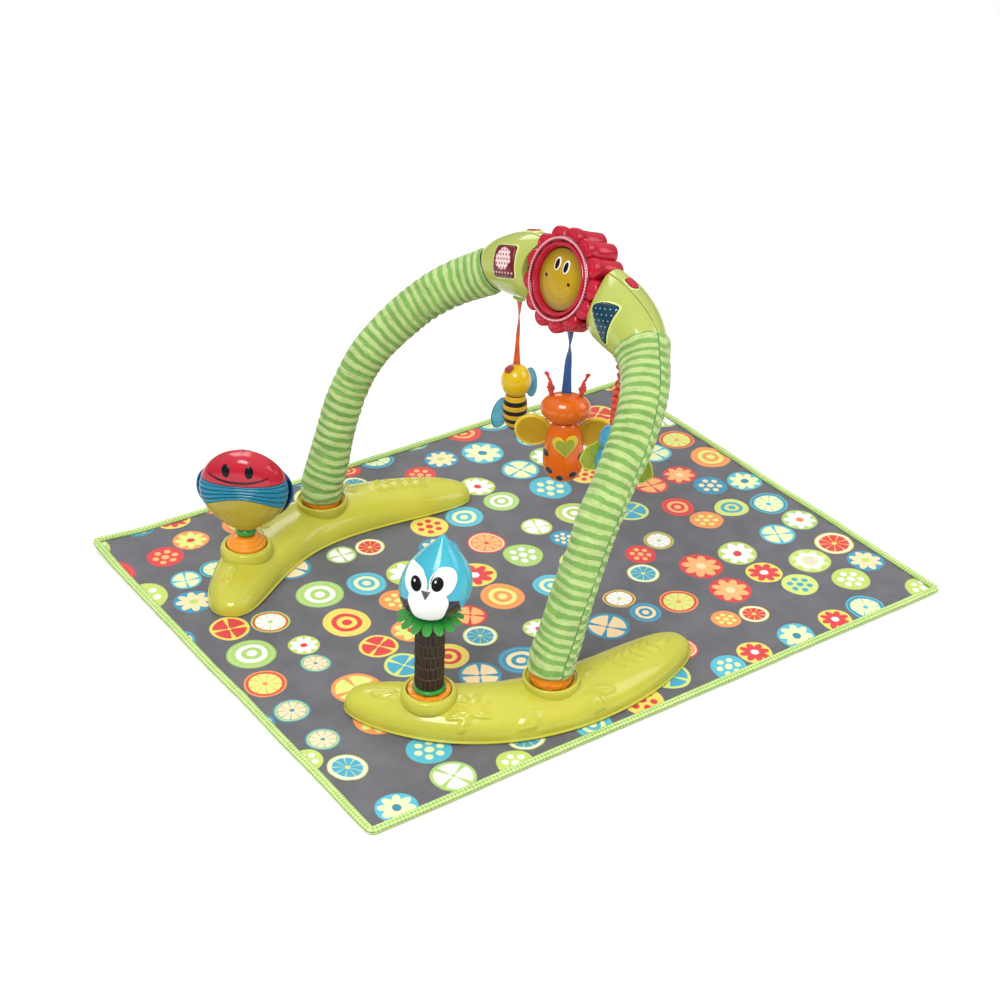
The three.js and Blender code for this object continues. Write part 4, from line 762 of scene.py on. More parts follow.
class ArchLine:
    """The line of one half of the arch, with its length, direction and cross directions."""

    def __init__(self, side):
        rise = ARCH_HEIGHT - LEG_START
        points = [(f * SWEEP, side * s * HALF_SPAN, LEG_START + u * rise) for f, s, u in ARCH_SHAPE]
        below = (points[0][0], points[0][1], LEG_START - 30)
        beyond = (points[-2][0], -points[-2][1], points[-2][2])
        self.points = evenly(smooth_line([below, *points, beyond], 4000), 4000)
        self.run = lengths(self.points)
        self.along = unit(np.gradient(self.points, axis=0))
        front = np.array([-1, 0, 0.25]) - self.along * (self.along @ [-1, 0, 0.25])[:, None]
        self.front = front / np.linalg.norm(front, axis=1, keepdims=True)
        self.up = np.cross(self.front, self.along)
        self.up[self.points[:, 1] < 0] *= -1

    def at_height(self, z):
        return float(self.run[np.argmax(self.points[:, 2] > z)])

    def at_side(self, y):
        """The length at which the line, near its top, first comes closer than y to the middle."""
        inside = (np.abs(self.points[:, 1]) < y) & (self.points[:, 2] > 200)
        return float(self.run[np.argmax(inside)])

    def read(self, rows, run):
        run = np.asarray(run, float)
        return np.stack([np.interp(run, self.run, rows[:, k]) for k in range(3)], axis=-1)

    def around(self, run, front, up):
        """Points round the line: its middle plus the two reaches along front and up."""
        middle, a, b = (self.read(x, run) for x in (self.points, self.front, self.up))
        return middle + a * np.asarray(front)[..., None] + b * np.asarray(up)[..., None]


LINES = {1: ArchLine(1), -1: ArchLine(-1)}
SIDES = {"left": 1, "right": -1}


def lobe_reach(y):
    """The half sizes of a lobe's section at a distance y from the middle: they fall from its
    fullest place to its mouth, and a shoulder falls away beside the flower."""
    share = np.clip((y - LOBE_FULL) / (LOBE_MOUTH + 0.6 - LOBE_FULL), 0, 1)
    swell = (1 - share**2) ** 0.75
    inwards = np.clip((LOBE_SHOULDER_Y - y) / (LOBE_SHOULDER_Y - LOBE_END), 0, None)
    front = LOBE_NECK + (LOBE_DEPTH - LOBE_NECK) * swell - LOBE_SHOULDER * inwards**1.6
    return front, LOBE_NECK + 0.5 + (LOBE_UP - LOBE_NECK - 0.5) * swell


def run_at_side(line, y):
    """The line's length for each distance from the middle, by looking it up near the top."""
    top = line.points[:, 2] > 250
    sides = line.points[top, 1] * np.sign(line.points[0, 1])
    order = np.argsort(sides)
    return np.interp(y, sides[order], line.run[top][order])


def lobe_point(side, y, angle, offset=0.0):
    """A place on a lobe's skin, from its distance to the middle and its angle round the line."""
    line = LINES[side]
    front, up = lobe_reach(y)
    run = run_at_side(line, y)
    return line.around(run, (front + offset) * np.cos(angle), (up + offset) * np.sin(angle))


def skin_frame(side, y, angle, turn):
    """The frame of a button on a lobe: X along the lobe, Z out of it, then turned about Z."""
    line = LINES[side]
    y = np.float64(y)
    run = run_at_side(line, y)
    front, up = lobe_reach(y)
    a, b, along = (line.read(x, run) for x in (line.front, line.up, line.along))
    out = a * math.cos(angle) / front + b * math.sin(angle) / up
    right = along * side
    return basis(right, np.cross(out, right), out, lobe_point(side, y, angle)) @ turn_z(turn)


def height_over(side, matrix, reach):
    """The lobe's skin as a height over the plane of a button: a polynomial of the fourth order
    in both directions, fitted to the skin's points near the button."""
    y, a = np.meshgrid(np.linspace(LOBE_END, 132, 160), np.linspace(0, TAU, 240), indexing="ij")
    local = (lobe_point(side, y, a).reshape(-1, 3) - matrix[:3, 3]) @ matrix[:3, :3]
    near = (np.hypot(local[:, 0], local[:, 1]) < reach) & (local[:, 2] > -30)
    powers = [(i, j) for i in range(5) for j in range(5 - i)]
    terms = lambda u, v: np.stack([u**i * v**j for i, j in powers], axis=-1)
    fit = np.linalg.lstsq(terms(local[near, 0] / reach, local[near, 1] / reach), local[near, 2],
                          rcond=None)[0]
    return lambda u, v: terms(np.asarray(u) / reach, np.asarray(v) / reach) @ fit


BUTTONS = {"melody_button": (1, 88, 6 * RAD, 0, lambda m: rounded_square(35 + 2 * m, 36 + 2 * m, 3 + m)),
    "rhythm_button": (-1, 92, -2 * RAD, 33 * RAD, lambda m: slice_outline(34, 44, m)),
    "volume_button": (1, 76, 86 * RAD, 0, lambda m: rounded_square(18 + 2 * m, 11 + 2 * m, 5 + m)),
    "mode_button": (-1, 76, 86 * RAD, 0, lambda m: rounded_square(18 + 2 * m, 11 + 2 * m, 5 + m))}


def petal_radius(angle):
    """The outline of a ring of round petals: the far side of the nearest petal's circle."""
    span = TAU / PETALS
    off = angle - span * np.round(angle / span)
    return PETAL_CENTRE * np.cos(off) + np.sqrt(PETAL_R**2 - (PETAL_CENTRE * np.sin(off)) ** 2)


def around_flower(radius, angle, z):
    return stacked(radius * np.sin(angle), radius * np.cos(angle), z)


# Settings


def colour_setting(name, thing, code):
    return bpy.props.FloatVectorProperty(name=name, description=f"Colour of {thing}",
                                         default=linear(code), subtype="COLOR", min=0, max=1)


def size_setting(name, about, value, low, high):
    return bpy.props.FloatProperty(name=name, description=about, default=value, min=low, max=high,
                                   unit="LENGTH")


class GymClothSettings(bpy.types.PropertyGroup):
    """The cloth of the mat and the sleeves."""

    ground: colour_setting("Mat ground", "the mat between the printed discs", "5e5d62")
    binding: colour_setting("Binding", "the rolled edge of the mat", "8fb957")
    motif_spacing: size_setting("Motif spacing", "Distance between the printed discs", 0.0605, 0.03, 0.2)
    wave: size_setting(
        "Mat wave", "How far the mat's cloth rises and falls between its edges", 0.0011, 0, 0.004)
    stripe_pitch: size_setting(
        "Stripe pitch", "Distance from one stripe of the sleeves to the next", 0.0112, 0.004, 0.03)
    stripe_pale: colour_setting("Pale stripe", "the paler stripes of the sleeves", "b2c67e")
    stripe_deep: colour_setting("Deep stripe", "the deeper stripes of the sleeves", "76a24c")
    gather: size_setting("Gather depth", "How deep the sleeves' gathers are", 0.0013, 0, 0.003)


class GymPlasticSettings(bpy.types.PropertyGroup):
    """The moulded plastic of the bases and the crown unit."""

    base: colour_setting("Bases", "the two crescent bases", "c0bc41")
    lobe: colour_setting("Lobes", "the two lobes beside the flower", "a9b454")
    petal: colour_setting("Petals", "the flower's petals and drum", "b3142e")
    lens: colour_setting("Lens", "the flower's face", "af8c10")
    relief: size_setting("Leaf relief", "How far the leaves stand out of the bases", 0.0024, 0, 0.003)


class GymToySettings(bpy.types.PropertyGroup):
    """The hanging and standing toys."""

    bird: colour_setting("Bird", "the bird's head", "3fa9bd")
    dome: colour_setting("Round face", "the round face's dome", "b51c30")
    butterfly: colour_setting("Butterfly", "the butterfly", "d8620f")
    bee: colour_setting("Bee", "the bee's head", "d9b418")
    wing_fill: bpy.props.FloatProperty(name="Wing filling", description="How far the cloth wings are stuffed",
        default=0.7, min=0, max=1, subtype="FACTOR")


GROUPS = (GymClothSettings, GymPlasticSettings, GymToySettings)


# Mat and bases


def mat_edge(count):
    """The mat's outline at equal distances: a rectangle with round corners and slightly uneven
    sides, as two coordinates and the outward direction."""
    angle = whole_turn(4000)
    half_x, half_y = MAT_LENGTH / 2 - MAT_CORNER, MAT_WIDTH / 2 - MAT_CORNER
    x = np.sign(np.cos(angle)) * half_x + MAT_CORNER * np.cos(angle)
    y = np.sign(np.sin(angle)) * half_y + MAT_CORNER * np.sin(angle)
    loop = even_loop(np.stack([x, y], axis=1), count)
    along = unit(np.roll(loop, -1, axis=0) - np.roll(loop, 1, axis=0))
    out = np.stack([along[:, 1], -along[:, 0]], axis=1)
    return loop, out


def mat_lift(x, y):
    """How far the mat's underside stands off the floor: only its left corner curls up a little."""
    corner = np.hypot(x + MAT_LENGTH / 2, y - MAT_WIDTH / 2)
    return 5.0 * eased(-corner, -75, -6)


def edge_sway(x, y):
    """Slow unevenness of the mat's sides, inwards only, in millimetres."""
    return 1.5 + 1.5 * ripple(x / 42, y / 42, 11)


def make_mat(context):
    cloth = context.scene.gym_cloth
    finish = mat_cloth(tuple(cloth.ground), cloth.motif_spacing * 1000)
    count = 560
    loop, out = mat_edge(count)
    sway = edge_sway(loop[:, 0], loop[:, 1])
    inner = loop - out * (BINDING * 0.62 + sway)[:, None]
    # rows run from the middle of the top out to the binding and back under
    shares = 1 - np.linspace(1, 0, 150) ** 1.15
    half = np.array([MAT_LENGTH / 2, MAT_WIDTH / 2])
    rows = []
    for share in shares[1:]:
        flat = inner * share
        reach = (1 - share) * np.min(half)
        drop = 1.9 * (1 - eased(reach, 0, 20))
        wave = cloth.wave * 1000 * ripple(flat[:, 0] / 30, flat[:, 1] / 30, 5)
        wave = wave + 0.5 * ripple(flat[:, 0] / 11, flat[:, 1] / 11, 6)
        pucker = 0.55 * np.sin(lengths(loop) / 4.2 + 3 * ripple(flat[:, 0] / 25, flat[:, 1] / 25, 8))
        height = 5.6 - drop + (wave - 0.6) * eased(reach, 2, 40)
        height = height + pucker * (1 - eased(reach, 3, 26))
        height = height + mat_lift(flat[:, 0], flat[:, 1])
        rows.append(stacked(flat[:, 0], flat[:, 1], height))
    for share in (0.999, 0.6, 0.2):
        flat = inner * share
        rows.append(stacked(flat[:, 0], flat[:, 1], 0.3 + mat_lift(flat[:, 0], flat[:, 1])))
    made = piece("printed_mat", np.stack(rows), WORLD, finish, "mat_and_bases", ["play_mat"])
    # the binding: a soft tube round the edge, flattened below, with puckers where it is sewn
    run = lengths(closed(loop))[:-1][:, None]
    angle = whole_turn(22)[None, :]
    pucker = 0.2 * ripple(run / 3.0, 3 * np.cos(angle), 20) + 0.2 * ripple(run / 9, 3 * np.cos(angle), 21)
    radius = BINDING / 2 - 0.3 + pucker
    centre = loop - out * (BINDING / 2 + sway * 0.8)[:, None]
    across = radius * np.cos(angle)
    rise = 4.4 + radius * np.sin(angle) * np.where(np.sin(angle) < 0, 0.85, 0.72)
    lift = mat_lift(loop[:, 0], loop[:, 1])[:, None]
    points = stacked(centre[:, :1] + out[:, :1] * across, centre[:, 1:] + out[:, 1:] * across,
        np.maximum(rise, 0.2) + lift)
    girth = float(np.linalg.norm(np.diff(points, axis=1), axis=2).mean(axis=0).sum())
    trim = binding_cloth(linear("ccdd92"), tuple(cloth.binding), girth)
    made = piece("mat_edge_binding", points, WORLD, trim, "mat_and_bases", ["mat_binding"],
                 ring=True)


def leaf_relief(x, y, leaf):
    """A raised leaf from 0 to 1: a lens shape along its own axis with a groove down its middle
    and slanting veins."""
    px, py, heading, length, width = leaf
    heading *= RAD
    u = ((x - px) * math.cos(heading) + (y - py) * math.sin(heading)) / length
    v = (-(x - px) * math.sin(heading) + (y - py) * math.cos(heading)) / (width / 2)
    swell = np.sqrt(np.clip(4 * u * (1 - u), 0, None)) * (1.15 - 0.35 * u)
    inside = np.clip(swell - np.abs(v), 0, None)
    body = eased(inside, 0, 0.32) * ((u > 0) & (u < 1))
    rib = 0.42 * np.exp(-((v / 0.09) ** 2)) * eased(1 - u, 0, 0.2)
    vein = 0.16 * np.exp(-((np.mod(u * 7 + np.abs(v) * 0.9, 1) - 0.5) / 0.12) ** 2)
    return np.clip(body * (1 - rib - vein), 0, 1)


FAN = [(-100, 2, heading, 29 - abs(heading - 80) * 0.05, 9) for heading in range(-40, 240, 40)]
SPRIG = [(73 + 14 * k, -8 + 3.5 * k, 12 + way * 48, 20 - k, 9) for k in range(5) for way in (-1, 1)]
LEAVES = [*FAN, *SPRIG, (146, 6, 14, 22, 9), (-34, -30, 190, 30, 14), (24, -30, -60, 36, 17),
    (34, -30, -14, 26, 12), (-172, 88, -36, 28, 13), (-150, 72, -70, 18, 10), (40, -18, 60, 18, 9)]


def make_base(name, side, plastic_settings, finish):
    """One crescent: blunt half ovals carried along a cubic line, a foot flange below, leaves
    raised out of the dome, and two ball-shaped sockets."""
    matrix = base_frame(side)
    x, _ = unit_grid(300, 1)
    x = (x[:, 0] * 0.999) + 0.0005
    q = x**1.4 / (x**1.4 + (1 - x) ** 1.4)
    t = 0.5 - 0.5 * np.cos(math.pi * q)
    corners = np.asarray(BASE_LINE, float)
    weights = np.stack([(1 - t) ** 3, 3 * t * (1 - t) ** 2, 3 * t**2 * (1 - t), t**3], axis=1)
    slopes = np.stack([3 * (1 - t) ** 2, 6 * t * (1 - t), 3 * t**2], axis=1)
    centre, along = weights @ corners, slopes @ np.diff(corners, axis=0)
    along /= np.linalg.norm(along, axis=1, keepdims=True)
    reach = (1 - np.abs(2 * t - 1) ** PLAN_POWER) ** (1 / PLAN_POWER)
    width = np.maximum(BASE_HALF_WIDTH * reach, 0.3)[:, None]
    height = np.maximum(BASE_HEIGHT * reach**0.8, 0.3)[:, None]
    rim = 2 * reach[:, None]
    angle = np.linspace(0.0, math.pi, 120)[None, :]
    across = signed_power(np.cos(angle), 2 / DOME_POWER) * width
    lift = np.sin(angle) ** (2 / DOME_POWER) * height + 2.0 * np.minimum(reach[:, None], 1)
    lift = lift * (height + 0.2) / (height + 2.0)
    low = 2.2 * reach[:, None]
    flange = [(1, 0 * low), (1, low * 0.75)]
    first = [(width + rim * k, z) for k, z in flange] + [(width + rim * 0.7, low), (width + rim * 0.15, low)]
    across = np.concatenate([a for a, _ in first] + [across] + [-a for a, _ in first[::-1]], axis=1)
    lift = np.concatenate([z for _, z in first] + [np.maximum(lift, low)] + [z for _, z in first[::-1]],
                          axis=1)
    px = centre[:, :1] - along[:, 1:] * across
    py = centre[:, 1:] + along[:, :1] * across
    points = stacked(px, py, lift)
    relief = 0
    for leaf in LEAVES:
        relief = np.maximum(relief, leaf_relief(px, py, leaf))
    out = normals(points)
    out = out * np.sign(out[..., 2:].mean())
    # no relief on the flange, under the sockets or down the steep sides
    clear = np.ones_like(px)
    for sx, sy in ((0, 0), TOY_SOCKET):
        clear = clear * eased(np.hypot(px - sx, py - sy), 32, 38)
    relief = relief * clear * eased(lift, 9, 15)
    points = points + out * (relief * plastic_settings.relief * 1000)[..., None]
    # the wells that the plugs stand in
    for sx, sy in ((0, 0), TOY_SOCKET):
        away = np.hypot(px - sx, py - sy)
        floor = SOCKET_TOP - SOCKET_DEPTH - BASE_FLOOR - 1.5
        points[..., 2] = np.where(away < 25.2, np.minimum(points[..., 2], floor), points[..., 2])
    points[..., 1] *= -side
    piece(f"{name}_base_dome", points, matrix, finish, "mat_and_bases", [f"{name}_base_shell"],
          wrap=False, wall=1.2)
    top = SOCKET_TOP - BASE_FLOOR
    meet = math.acos(25.5 / SOCKET_BALL)
    sweep = np.linspace(meet, 0, 16)
    round_side = [(SOCKET_BALL * math.cos(a), top - SOCKET_BALL * math.sin(a)) for a in sweep]
    bore = SOCKET_BORE
    foot = [(bore, top - SOCKET_DEPTH + 0.4), (25.4, top - SOCKET_DEPTH + 0.4)]
    leg = [*foot, *round_side, (30.9, top + 0.6), (30.2, top + 1.7), (29.2, top + 2.0),
           (28.3, top + 1.6), (28, top - 0.9), (bore + 0.6, top - 2.6), (bore, top - 3.6)]
    # the toy's socket closes in again above its widest place
    lower = [(SOCKET_BALL * math.cos(a), top - 10 - 13.5 * math.sin(a)) for a in sweep]
    upper = [(27.2 + 3.8 * math.cos(a), top - 10 + 10.6 * math.sin(a)) for a in np.linspace(0.1, 1.45, 14)]
    toy = [*foot, *lower, *upper, (26.6, top + 1.4), (25.7, top + 1.7), (24.8, top + 1.2),
           (24.3, top - 0.8), (bore + 0.5, top - 2.4), (bore, top - 3.6)]
    for label, (sx, sy), profile in (("leg", (0, 0), leg),
                                     ("toy", (TOY_SOCKET[0], -side * TOY_SOCKET[1]), toy)):
        piece(f"{name}_{label}_socket", turned(profile, 96) + (sx, sy, 0), matrix, finish,
              "mat_and_bases", ring=True, crease=50)


# Arch


def sleeve_radius(share):
    """The mean radius of a sleeve: drawn in at a waist, wider at its foot and its top."""
    off = np.abs(share - 0.4) / np.where(share < 0.4, 0.4, 0.6)
    return 22.3 + (np.where(share < 0.4, 26.0, 28.3) - 22.3) * off**1.6


def make_sleeve(name, side, cloth):
    """A gathered cloth tube: circles round the arch line whose radius swells between gathers,
    with folds that are deepest inside the bend. The right one has a puckered seam and ends in a
    ruffle over its lobe; the left one is drawn in against its lobe."""
    line = LINES[side]
    start = line.at_height(SOCKET_TOP + (12 if side < 0 else 5))
    stop = line.at_side(LOBE_MOUTH + 0.4) + (11.0 if side < 0 else 0.0)
    run, turn = unit_grid(430, 96)
    angle = turn * TAU
    s = start + (stop - start) * run
    bend = np.linalg.norm(np.gradient(line.along, axis=0), axis=1) / np.gradient(line.run)
    tight = np.interp(s, line.run, np.convolve(bend, np.ones(201) / 201, mode="same")) * 100
    wander = 1.3 * ripple(s / 34, 2.2 * np.cos(angle) + side, 31) + 0.9 * ripple(
        s / 13, 3 * np.sin(angle), 32)
    phase = TAU * (s / (cloth.stripe_pitch * 1000)) + 2.2 * wander
    swell = 1 - (0.5 - 0.5 * np.cos(phase)) ** 2.2
    inner = np.clip(-np.sin(angle), 0, 1)
    depth = cloth.gather * 1000 * (0.75 + 0.6 * ripple(s / 30, 2 * np.sin(angle), 33))
    depth = depth * (1 + 1.1 * inner * np.clip(tight, 0, 1.4))
    radius = SEAT_GAP + sleeve_radius(run) + depth * (swell - 0.75)
    radius = radius + 0.6 * ripple(s / 24, 2.5 * np.cos(angle + 1), 34)
    radius = radius + 0.22 * ripple(s / 3.2, 4 * np.cos(angle), 36)
    to_foot, to_top = s - start, stop - s
    radius = radius - 2.0 * (1 - eased(to_foot, 0, 3.0))
    if side < 0:
        seam = RAD * np.interp(run, [0, 0.5, 1], [76, 103, 87])
        off = (angle - seam) * radius
        strip = eased(off, 0.2, 2.0) * (1 - eased(off, 9.5, 12.5))
        radius = radius - 0.8 * np.exp(-((off / 0.9) ** 2))
        radius = radius + strip * (0.6 + 0.55 * np.sin(TAU * s / 5.2 + wander))
        flare = 1 - eased(to_top, 2, 20)
        radius = radius + flare * (3.0 + 0.8 * np.sin(11 * angle + 2 * ripple(s / 9, angle, 35)))
        radius = radius - 1.4 * (1 - eased(to_top, 0, 2.2))
    else:
        radius = radius - 2.4 * (1 - eased(to_top, 0, 6))
    radius = np.maximum(radius, 20.7)
    points = line.around(s, radius * np.cos(angle), radius * np.sin(angle))
    girth = float(np.linalg.norm(np.diff(points, axis=1), axis=2).mean(axis=0).sum()) * 96 / 95
    finish = sleeve_cloth(f"{name}_sleeve_stripes", tuple(cloth.stripe_pale), tuple(cloth.stripe_deep),
                          cloth.stripe_pitch * 1000, (girth, stop - start) if side < 0 else None)
    made = piece(f"{name}_striped_sleeve", points, GYM, finish, "arch", [f"{name}_sleeve"],
                 poles=False, wall=0.7)


def make_foot_plug(name, side, finish):
    """The plug that a leg stands on: turned, with eight broad grooves round its rim."""
    height = [17.3, 17.3, 19.3, 43, 44.2, 45.2, 49.2, 50.2, 50.6, 54.5, 54.8, 55, 69]
    radius = [2, 20, 22, 22, 22.6, 23.2, 23.2, 22.6, 20, 20, 19.4, 16.6, 14.6]
    deep = [0, 0, 0, 0, 0.6, 1.8, 1.8, 1.2, 0, 0, 0, 0, 0]
    fine = np.linspace(0, len(height) - 1, 61)
    at = np.arange(len(height))
    z, r, g = (np.interp(fine, at, values)[:, None] for values in (height, radius, deep))
    angle = whole_turn(160)[None, :]
    r = r - g * (1 - np.abs(np.sin(4 * angle)) ** 0.5)
    points = stacked(r * np.cos(angle), r * np.sin(angle), z + 0 * angle)
    piece(f"{name}_grooved_plug", points, GYM @ shift(0, side * HALF_SPAN, 0), finish, "arch",
          [f"{name}_foot_plug"], crease=40)


# Crown unit


def in_drum(points):
    """Whether each place, in the arch's frame, is within the room kept for the flower's drum."""
    local = (points - (FLOWER_X, 0, FLOWER_Z)) @ np.stack(FLOWER_AXES, axis=1)
    away = np.hypot(local[..., 0], local[..., 1])
    limit = np.where(local[..., 2] > -BEZEL_DEPTH - 0.8, 61.3, 58.5)
    return (away < limit) & (local[..., 2] > -DRUM_DEPTH - 0.3)


def lobe_half(side, way):
    """One half shell of a lobe as a grid: rows run from the mouth to the drum and then inwards
    along the drum's side, and columns round the skin between the two places where it meets the
    parting plane."""
    rows, columns = 110, 120
    y_all = np.linspace(LOBE_MOUTH, LOBE_END, 240)
    line = LINES[side]
    front, up = lobe_reach(y_all)
    run = run_at_side(line, y_all)
    middle, a, b = (line.read(v, run) for v in (line.points, line.front, line.up))
    cos_part, sin_part = front * a[:, 0], up * b[:, 0]
    plane = LOBE_PARTING + way * 0.25 - middle[:, 0]
    tilt = np.arctan2(sin_part, cos_part)
    open_ = np.arccos(np.clip(plane / np.hypot(cos_part, sin_part), -1, 1))
    low, high = (tilt + open_, tilt + TAU - open_) if way < 0 else (tilt - open_, tilt + open_)
    share = np.linspace(0, 1, columns)
    all_angles = low[:, None] + (high - low)[:, None] * share

    def last_at(offset):
        """Where each column, at a depth below the skin, meets the room of the drum."""
        skin = lobe_point(side, np.broadcast_to(y_all[:, None], all_angles.shape), all_angles, offset)
        inside = in_drum(skin)
        last = np.where(inside.any(axis=0), y_all[np.argmax(inside, axis=0)], LOBE_END)
        return np.maximum(last, np.convolve(np.pad(last, 3, mode="edge"), np.ones(7) / 7, mode="valid"))

    depth = np.linspace(0, 1, rows)[:, None]
    y = LOBE_MOUTH + (last_at(0) - LOBE_MOUTH) * (1 - (1 - depth) ** 1.25)
    flange = (-0.5, -1.8, -4, -8, -13)
    y = np.vstack([y, *(last_at(offset)[None, :] for offset in flange)])
    limits = [np.interp(-y, -y_all, edge) for edge in (low, high)]
    angles = limits[0] + (limits[1] - limits[0]) * share
    # the skin is drawn in a little along the parting, where the two halves meet in a fine groove
    near = np.minimum(share, 1 - share) * np.pi * 40
    groove = -0.45 * (1 - eased(near, 0, 1.6))
    mouth = -1.2 * (1 - eased(LOBE_MOUTH - y, 0, 2.2))
    inwards = np.concatenate([np.zeros(rows), flange])[:, None]
    return lobe_point(side, y, angles, groove + mouth + inwards)


def hole_mask(points, frames):
    """Which faces of a half shell stay: those outside the outlines of its buttons."""
    keep = np.ones((points.shape[0] - 1, points.shape[1] - 1), bool)
    middle = (points[:-1, :-1] + points[1:, 1:]) / 2
    for matrix, outline in frames:
        local = (middle - matrix[:3, 3]) @ matrix[:3, :3]
        loop = outline(1.0)
        angle = np.arctan2(local[..., 1], local[..., 0])
        reach = reach_at(angle, loop, np.arctan2(loop[:, 1], loop[:, 0]))
        keep &= ~((np.hypot(local[..., 0], local[..., 1]) < reach) & (local[..., 2] > -12))
    return keep


def make_lobes(context):
    tone = tuple(context.scene.gym_plastic.lobe)
    finish = plastic("lobe_lime", tone, 0.18, 0.05, 0.4)
    for name, side in SIDES.items():
        frames = [(skin_frame(side, y, a, turn), outline)
                  for s, y, a, turn, outline in BUTTONS.values() if s == side]
        for label, way in (("front", -1), ("rear", 1)):
            points = lobe_half(side, way)
            piece(f"{name}_lobe_{label}_skin", points, GYM, finish, "arch", [f"{name}_lobe_{label}"],
                  wrap=False, wall=1.2, keep=hole_mask(points, frames))
        boss = pad(rounded_square(9, 15, 1.5, 48), -12, 0, 0.8)
        piece(f"{name}_strap_boss", boss + (189, side * 90, STRAP_TOP + RUN_GAP + 12), GYM, finish,
              "arch", crease=50)


def dotted(paint, at, matrix, spacing, size):
    """Dots in staggered rows on a plane: the distance to the nearest point of a square grid whose
    every second row is moved by half a step."""
    local = paint.local(at, matrix)[:2]
    row = paint.number("FLOOR", local[1] / spacing)
    u = local[0] / spacing + row * 0.5
    du = u - paint.number("FLOOR", u) - 0.5
    dv = local[1] / spacing - row - 0.5
    away = paint.number("POWER", du * du + dv * dv, 0.5)
    return away.step(size + 0.06, size - 0.06), local


def make_buttons(context):
    """Each button: a cap that follows the lobe's skin at its own height, and a raised rim round
    it, both over the skin's height in the button's plane."""
    rim_finish = plastic("button_rim_lime", linear("c9d684"), 0.2, 0.04, 0.4)
    faces = {"melody_button": ("6d0f20", "e6c6c6", "crimson_plastic", 5.2, 0.23),
        "rhythm_button": ("0d3447", "7fb4ba", "navy_plastic", 6.4, 0.13),
        "volume_button": ("b0152f", "b0152f", "red_plastic", 5.0, 0.1),
        "mode_button": ("b0152f", "b0152f", "red_plastic", 5.0, 0.1)}
    for label, (side, y, angle, turn, outline) in BUTTONS.items():
        colour, dot, slot, spacing, size = faces[label]
        matrix = skin_frame(side, y, angle, turn)
        over = height_over(side, matrix, 34 if "melody" in label or "rhythm" in label else 18)
        body = label.replace("_button", "_key")
        world = GYM @ matrix

        def mask(paint, at):
            dots, (u, v) = dotted(paint, at, world, spacing, size)
            if label == "melody_button":
                blot = paint.number("POWER", u * u * 0.9 + (v - 3.0) * (v - 3.0), 0.5)
                ragged = paint.noise(at, 0.22, 3.0)
                cloud = (blot + ragged * 5.0).step(15.5, 14.5)
                return (cloud * (1.0 - dots)).most(dots * (v.step(-9.0, -9.5)) * 0.8)
            return dots

        finish = moulded(f"{label}_face", linear(colour), linear(dot), mask, 0.22)
        crown = 2.6
        edge = [(1.0, -2.6), (1.0, -1.0), (1.0, crown - 1.0), (0.985, crown - 0.45), (0.955, crown - 0.12)]
        shares = edge + [(s, crown) for s in np.linspace(0.92, 0.02, 22)]
        loop = outline(0)
        rows = []
        for scale, lift in [(0.05, -2.6), (0.5, -2.6)] + shares:
            flat = loop * scale
            base = over(flat[:, 0], flat[:, 1])
            rows.append(stacked(flat[:, 0], flat[:, 1], base + lift))
        piece(f"{label}_cap", np.stack(rows), world, finish, body, [label], crease=60)
        rows = []
        for margin, lift in ((0.55, -2.0), (0.55, 0.7), (0.8, 1.3), (1.2, 1.5), (1.7, 1.3),
                             (2.1, 0.7), (2.4, -0.2), (2.5, -1.2)):
            loop = outline(margin)
            rows.append(stacked(loop[:, 0], loop[:, 1], over(loop[:, 0], loop[:, 1]) + lift))
        piece(f"{label}_rim", np.stack(rows), world, rim_finish, "arch", ring=True)


